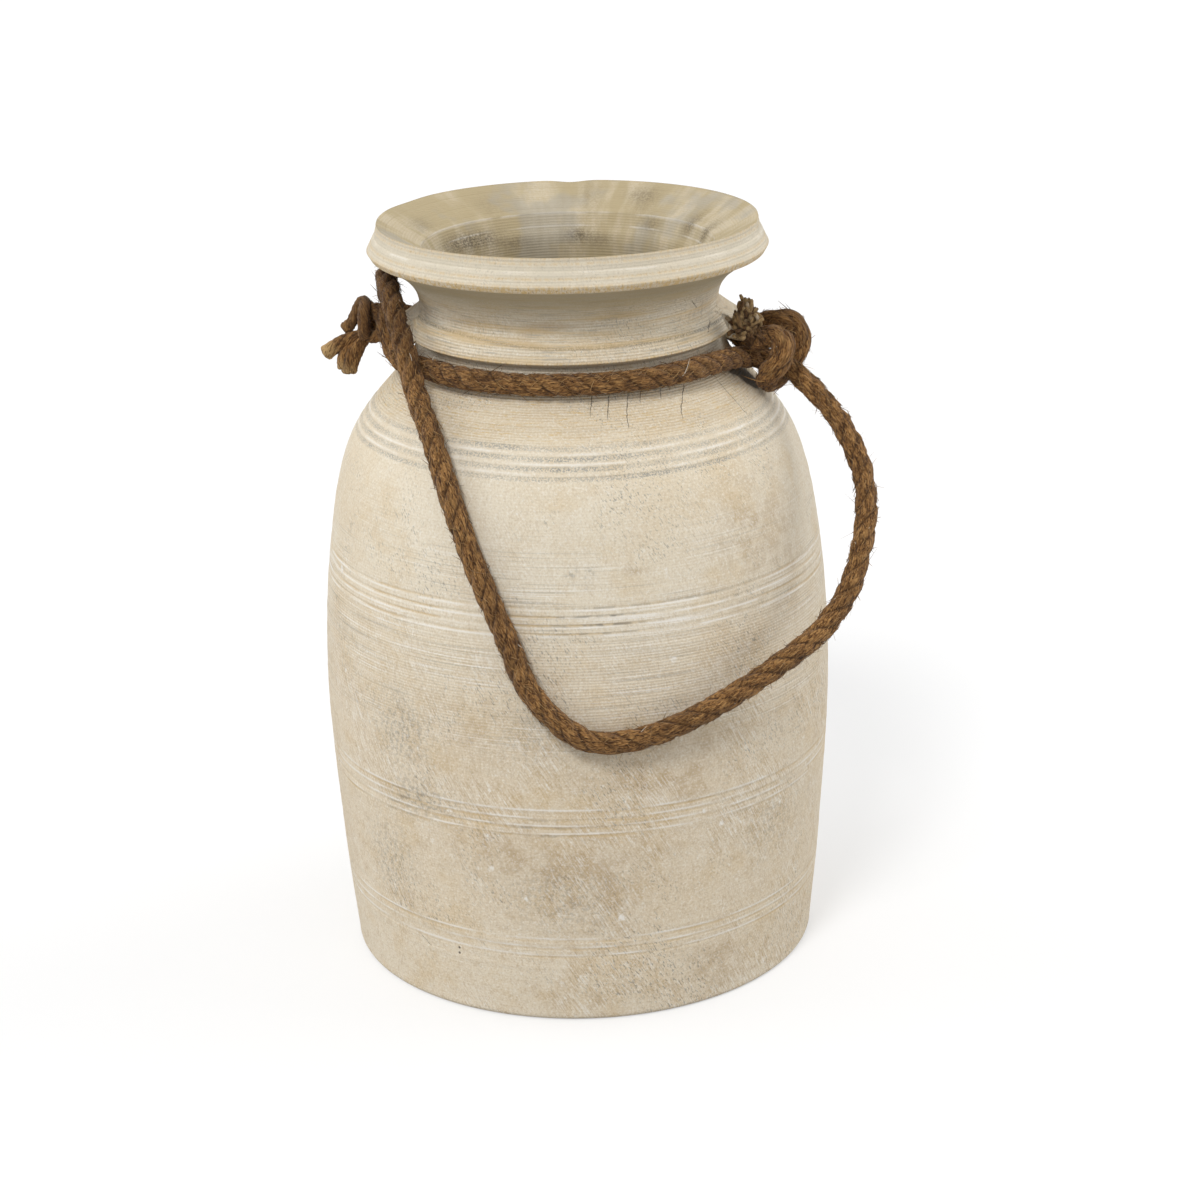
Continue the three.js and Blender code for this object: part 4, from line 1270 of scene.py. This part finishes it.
def make_pot():
    """The turned pot, with the values that its material reads."""
    rows, names, shares = OUTLINE
    row_radius = rows[:, :1]
    row_height = rows[:, 1:]
    angles = column_angles()
    count = len(angles)
    radius = np.repeat(row_radius, count, axis=1)
    height = np.repeat(row_height, count, axis=1)

    def on(*stretches):
        """The rows on these stretches of the outline."""
        return np.isin(names, stretches)[:, None]

    outside = on(*BELOW_RIM, "rim_edge", "bevel")
    inside = on("funnel", "throat", "hollow", "floor")

    # Grooves, shallower here and there and not quite level
    around = np.stack([np.sin(angles), -np.cos(angles), np.zeros(count)], axis=1)
    spots = around[None] * SPOT_RADIUS + np.stack([0 * height, 0 * height, height], axis=-1)
    depth, in_groove, on_chalk = groove_shape(height + pot_noise(spots, "groove_wobble"))
    worn = GROOVE_WEAR + pot_noise(spots, "broad_wear") + pot_noise(spots, "fine_wear")
    worn = np.clip(worn, *GROOVE_WEAR_LIMITS)
    worn = np.where(height > SHOULDER_BAND, np.maximum(worn, SHOULDER_WEAR), worn)
    radius = radius - on("body") * depth * worn

    # Hand work: slightly out of round, with tool waves
    radius = radius + pot_noise(spots, "out_of_round") + outside * pot_noise(spots, "tool_waves")

    # Fine steps on the rim's bevel, rings inside the funnel and low places in the lip
    for level, width, deep in RIM_LINES:
        radius = radius - on("bevel") * deep * ridge(row_height, level, width)
    for ring, width, deep in FUNNEL_RINGS:
        height = height - on("funnel") * deep * ridge(row_radius, ring, width)
    near_lip = ridge(row_height, LIP[1], LIP_DIP_HEIGHT) * ridge(row_radius, LIP[0], LIP_DIP_WIDTH)
    for angle, half_width, drop in LIP_DIPS:
        height = height - near_lip * drop * ridge(turn_from(angles, angle), 0.0, half_width)

    # Ears, with carved faces and eased edges
    radius, height, on_ear = add_ears(radius, height, names, shares, angles)
    ear_rows = on("collar_underside", "collar", "neck_foot") & on_ear
    radius = radius + ear_rows * pot_noise(spots, "carved_ears")
    for _ in range(EAR_EASINGS):
        radius = np.where(ear_rows, eased_rows(radius), radius)
        height = np.where(ear_rows, eased_rows(height), height)

    points = np.stack([radius * np.sin(angles), -radius * np.cos(angles), height], axis=-1)
    piece = new_object("turned_pot", with_ends(points), ring_faces(*points.shape[:2]))

    # Worn edges, chalk, the seam above the collar, cracks and flecks
    arc = lengths_along(rows)[:, None]
    wear = 1.0 * on("rim_edge")
    for name, strength in EDGE_WEAR.items():
        wear = np.maximum(wear, strength * ridge(arc, arc[names == name][0], EDGE_WEAR_WIDTH))
    for level, width, strength in BEVEL_WEAR:
        wear = np.maximum(wear, on("bevel") * strength * ridge(row_height, level, width))
    chalk = np.maximum(on("body") * on_chalk, on("bevel") * ridge(row_height, RIM_CHALK, RIM_CHALK_WIDTH))
    for ring, half_width in FUNNEL_CHALK:
        chalk = np.maximum(chalk, on("funnel") * ridge(row_radius, ring, half_width))
    seam_height = SEAM_HEIGHT + SEAM_RISE * smooth(*SEAM_TURN, angles)
    seam = (on("collar", "neck_foot") & ~on_ear) * ridge(height, seam_height, SEAM_WIDTH)
    across, on_crack = crack_values(points)
    fleck = np.full(radius.shape, NO_FLECK)
    for angle, level, size in FLECKS:
        fleck = np.maximum(fleck, size - np.linalg.norm(points - place_on_pot(angle, level), axis=-1))
    values = {
        "arc": arc,
        "inside": inside,
        "outside": ~inside,
        "rim": on("bevel"),
        "neck": on("cove", "neck_foot", "collar"),
        "under_rim": on("cove") * smooth(*UNDER_RIM, shares[:, None]),
        "turning": line_strength(rows, names)[:, None],
        "groove": on("body") * in_groove * worn,
        "chalk": chalk,
        "seam": seam,
        "wear": wear,
        "crack_across": across,
        "crack": outside * on_crack,
        "fleck": np.where(outside, fleck, NO_FLECK),
        "inner_stain": inside * stain_values(points, angles, INNER_STAINS),
        "tan_stain": outside * stain_values(points, angles, TAN_STAINS),
        "grey_stain": outside * stain_values(points, angles, GREY_STAINS),
        "dark_groove": outside * stain_values(points, angles, DARK_GROOVES),
        # Painted shadow of the hitch on the shoulder below it
        "hitch_shadow": outside * stain_values(points, angles, HITCH_SHADOW),
    }
    for name, value in values.items():
        whole = np.broadcast_to(np.asarray(value, float), radius.shape)
        add_values(piece, name, with_ends(whole[..., None]))
    return piece


pot_piece = make_pot()


# Materials


class Paint:
    """Short calls that add nodes to one material or world, and the values that its layers name."""

    def __init__(self, owner, shader="Principled BSDF"):
        owner.use_nodes = True
        self.tree = owner.node_tree
        self.shader = self.tree.nodes[shader]
        self.values = {}

    def fill(self, node, inputs):
        """Each input linked to a socket, or set to a plain value."""
        for key, value in inputs.items():
            if isinstance(value, bpy.types.NodeSocket):
                self.tree.links.new(value, node.inputs[key])
            else:
                node.inputs[key].default_value = value

    def node(self, kind, inputs, output, **settings):
        made = self.tree.nodes.new(kind)
        for key, value in settings.items():
            setattr(made, key, value)
        self.fill(made, inputs)
        return made.outputs[output]

    def math(self, operation, first, second=0.0):
        return self.node("ShaderNodeMath", {0: first, 1: second}, 0, operation=operation)

    def times(self, first, second):
        return self.math("MULTIPLY", first, second)

    def plus(self, first, second):
        return self.math("ADD", first, second)

    def vector(self, operation, first, second=(0.0, 0.0, 0.0), output="Vector"):
        return self.node("ShaderNodeVectorMath", {0: first, 1: second}, output, operation=operation)

    def add_noise(self, table, places):
        """The noise of a table's rows, read at the places that they name."""
        for name, (place, across, along, detail, roughness, *distortion) in table.items():
            inputs = {
                "Vector": self.vector("MULTIPLY", places[place], (across, across, along)),
                "Scale": 1.0,
                "Detail": detail,
                "Roughness": roughness,
                "Distortion": sum(distortion),
            }
            self.values[name] = self.node("ShaderNodeTexNoise", inputs, "Fac")

    def value(self, name):
        """A value by its name: one that was made before, or else one that the mesh carries."""
        if name not in self.values:
            self.values[name] = self.node("ShaderNodeAttribute", {}, "Fac", attribute_name=name)
        return self.values[name]

    def ramp(self, value, low, high, start=0.0, end=1.0):
        inputs = {"Value": value, "From Min": low, "From Max": high, "To Min": start, "To Max": end}
        return self.node("ShaderNodeMapRange", inputs, "Result", interpolation_type="SMOOTHSTEP")

    def factor(self, part):
        """A number, a value by its name, or a ramp of a value."""
        if isinstance(part, str):
            return self.value(part)
        if isinstance(part, tuple):
            return self.ramp(self.value(part[0]), *part[1:])
        return part

    def lay(self, colour, layers):
        """The colour with all the layers over it."""
        colour = (*colour, 1.0)
        for first, *parts in layers:
            share = self.factor(parts[0])
            for part in parts[1:]:
                share = self.times(share, self.factor(part))
            if isinstance(first, str):
                self.values[first] = share
            else:
                inputs = {"Factor": share, 6: colour, 7: (*first, 1.0)}
                colour = self.node("ShaderNodeMix", inputs, 2, data_type="RGBA")
        return colour

    def bump(self, sizes, step, strength):
        """A normal from the values added up, each times its size."""
        height = 0.0
        for name, size in sizes.items():
            height = self.plus(height, self.times(self.value(name), size))
        inputs = {"Height": height, "Distance": step, "Strength": strength}
        return self.node("ShaderNodeBump", inputs, "Normal")


def wood_material():
    material = bpy.data.materials.new("bleached_wood")
    paint = Paint(material)
    values = paint.values
    place = paint.node("ShaderNodeTexCoord", {}, "Object")
    x, y, height = (paint.node("ShaderNodeSeparateXYZ", {"Vector": place}, axis) for axis in "XYZ")
    values["height"] = height
    arc = paint.value("arc")
    twist = {"Vector": place, "Angle": paint.times(height, STROKE_TWIST)}
    rings = paint.node("ShaderNodeCombineXYZ", {"X": x, "Y": y, "Z": arc}, "Vector")
    around = paint.vector("NORMALIZE", paint.vector("MULTIPLY", place, (1.0, 1.0, 0.0)))
    places = {
        "place": place,
        "slanted": paint.node("ShaderNodeVectorRotate", twist, "Vector", rotation_type="Z_AXIS"),
        "rings": rings,
        "running": paint.vector(
            "ADD",
            paint.vector("MULTIPLY", around, BLOTCHES_AROUND),
            paint.vector("MULTIPLY", rings, BLOTCHES_ALONG),
        ),
    }
    paint.add_noise(WOOD_NOISE, places)

    # Turning lines, and the rough edges of flecks, the painted shadow below the hitch and cracks
    drift = paint.times(values["drift"], LINE_DRIFT)
    values["wave"] = paint.math("SINE", paint.plus(paint.times(arc, 2 * math.pi / TURNING_PITCH), drift))
    values["rough_fleck"] = paint.plus(paint.value("fleck"), paint.times(values["fleck_edge"], FLECK_EDGE))
    edge = paint.times(paint.plus(values["hitch_shadow_edge"], -NOISE_MIDDLE), HITCH_SHADOW_EDGE)
    values["rough_hitch_shadow"] = paint.plus(paint.value("hitch_shadow"), edge)
    wiggle = paint.times(paint.plus(values["crack_wiggle"], -NOISE_MIDDLE), CRACK_WIGGLE)
    distance = paint.math("ABSOLUTE", paint.plus(paint.value("crack_across"), wiggle))
    cracks = paint.times(paint.ramp(distance, *CRACK_LINE), paint.value("crack"))
    for hole_angle, hole_height in WORM_HOLES:
        away = paint.vector("DISTANCE", place, tuple(place_on_pot(hole_angle, hole_height)), "Value")
        cracks = paint.math("MAXIMUM", cracks, paint.ramp(away, *WORM_HOLE_EDGE))
    values["all_cracks"] = cracks

    paint.fill(paint.shader, {
        "Base Color": paint.lay(WOOD_PALE, WOOD_LAYERS),
        "Normal": paint.bump(WOOD_RELIEF, *WOOD_RELIEF_STEP),
        "Roughness": paint.factor(WOOD_ROUGHNESS),
        **WOOD_GLOSS,
    })
    return material


def rope_material():
    material = bpy.data.materials.new("plant_fibre_rope")
    paint = Paint(material)
    fibre = paint.node("ShaderNodeAttribute", {}, "Vector", attribute_name="fibre")
    paint.add_noise(ROPE_NOISE, {"fibre": fibre})
    paint.fill(paint.shader, {
        "Base Color": paint.lay(ROPE_DARK, ROPE_LAYERS),
        "Normal": paint.bump(ROPE_RELIEF, *ROPE_RELIEF_STEP),
        **ROPE_GLOSS,
    })
    return material


wood = wood_material()
rope_fibre = rope_material()
pot_piece.data.materials.append(wood)
for piece in rope_pieces:
    piece.data.materials.append(rope_fibre)


# Bodies, and the CAD parts that the meshes stand in for, hidden


for piece in (handle_piece, handle_hairs):
    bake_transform(piece)
for piece in (pot_piece, neck_piece, back_piece, neck_hairs, back_hairs, wraps, lower_tail, right_tail):
    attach(piece, "pot")
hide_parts("pot")
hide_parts("neck_rope")
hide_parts("handle_right_end", "handle_rope", "left_riser")
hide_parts("back_rope", "right_knot")
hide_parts("left_knot", "left_tail_upper")
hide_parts("left_tail_lower")
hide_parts("right_tail")


def route_points(start, end):
    """Some of the steps of the rope's line from start to end, with both ends."""
    points = rope.line[rope.between(start, end)]
    return [tuple(point) for point in points[::PATH_STEP]] + [tuple(points[-1])]


route_points(handle_start, back_start)


# Floor, light and background


def make_floor():
    """A pale floor that keeps the shadow and looks white to the camera."""
    half = FLOOR_HALF
    corners = np.array([(-half, -half, 0.0), (half, -half, 0.0), (half, half, 0.0), (-half, half, 0.0)])
    floor = new_object("floor", corners, [[0, 1, 2, 3]])
    material = bpy.data.materials.new("pale_floor")
    paint = Paint(material)
    glow = paint.node("ShaderNodeLightPath", {}, "Is Camera Ray")
    paint.fill(paint.shader, {
        "Base Color": FLOOR_COLOUR,
        "Roughness": 1.0,
        "Specular IOR Level": 0.0,
        "Emission Color": WHITE,
        "Emission Strength": paint.times(glow, FLOOR_GLOW),
    })
    floor.data.materials.append(material)


def make_sun(name, azimuth, elevation, spread, strength):
    """A soft lamp far away, towards the azimuth and elevation in degrees."""
    data = bpy.data.lights.new(name, "SUN")
    data.energy = strength
    data.angle = math.radians(spread)
    lamp = bpy.data.objects.new(name, data)
    bpy.context.scene.collection.objects.link(lamp)
    turn = math.radians(azimuth)
    rise = math.radians(elevation)
    way = Vector((math.sin(turn) * math.cos(rise), -math.cos(turn) * math.cos(rise), math.sin(rise)))
    lamp.location = way * LAMP_DISTANCE
    lamp.rotation_euler = (-way).to_track_quat("-Z", "Y").to_euler()


def make_world():
    """A soft sky, brighter overhead, that is plain white where the camera sees it."""
    world = bpy.data.worlds.new("studio")
    paint = Paint(world, "Background")
    bpy.context.scene.world = world
    camera_ray = paint.node("ShaderNodeLightPath", {}, "Is Camera Ray")
    glossy_ray = paint.node("ShaderNodeLightPath", {}, "Is Glossy Ray")
    seen = paint.math("MAXIMUM", camera_ray, glossy_ray)
    way = paint.node("ShaderNodeTexCoord", {}, "Generated")
    up = paint.node("ShaderNodeSeparateXYZ", {"Vector": way}, "Z")
    sky = paint.node("ShaderNodeMapRange", {"Value": up, "To Min": SKY_LOW, "To Max": SKY_TOP}, "Result")
    strength = paint.node("ShaderNodeMix", {"Factor": seen, "A": sky, "B": 1.0}, "Result", data_type="FLOAT")
    paint.fill(paint.shader, {"Strength": strength, "Color": WHITE})


make_floor()
for name, (azimuth, elevation, spread, strength) in LAMPS.items():
    make_sun(name, azimuth, elevation, spread, strength)
make_world()
bpy.context.scene.view_settings.view_transform = "Standard"
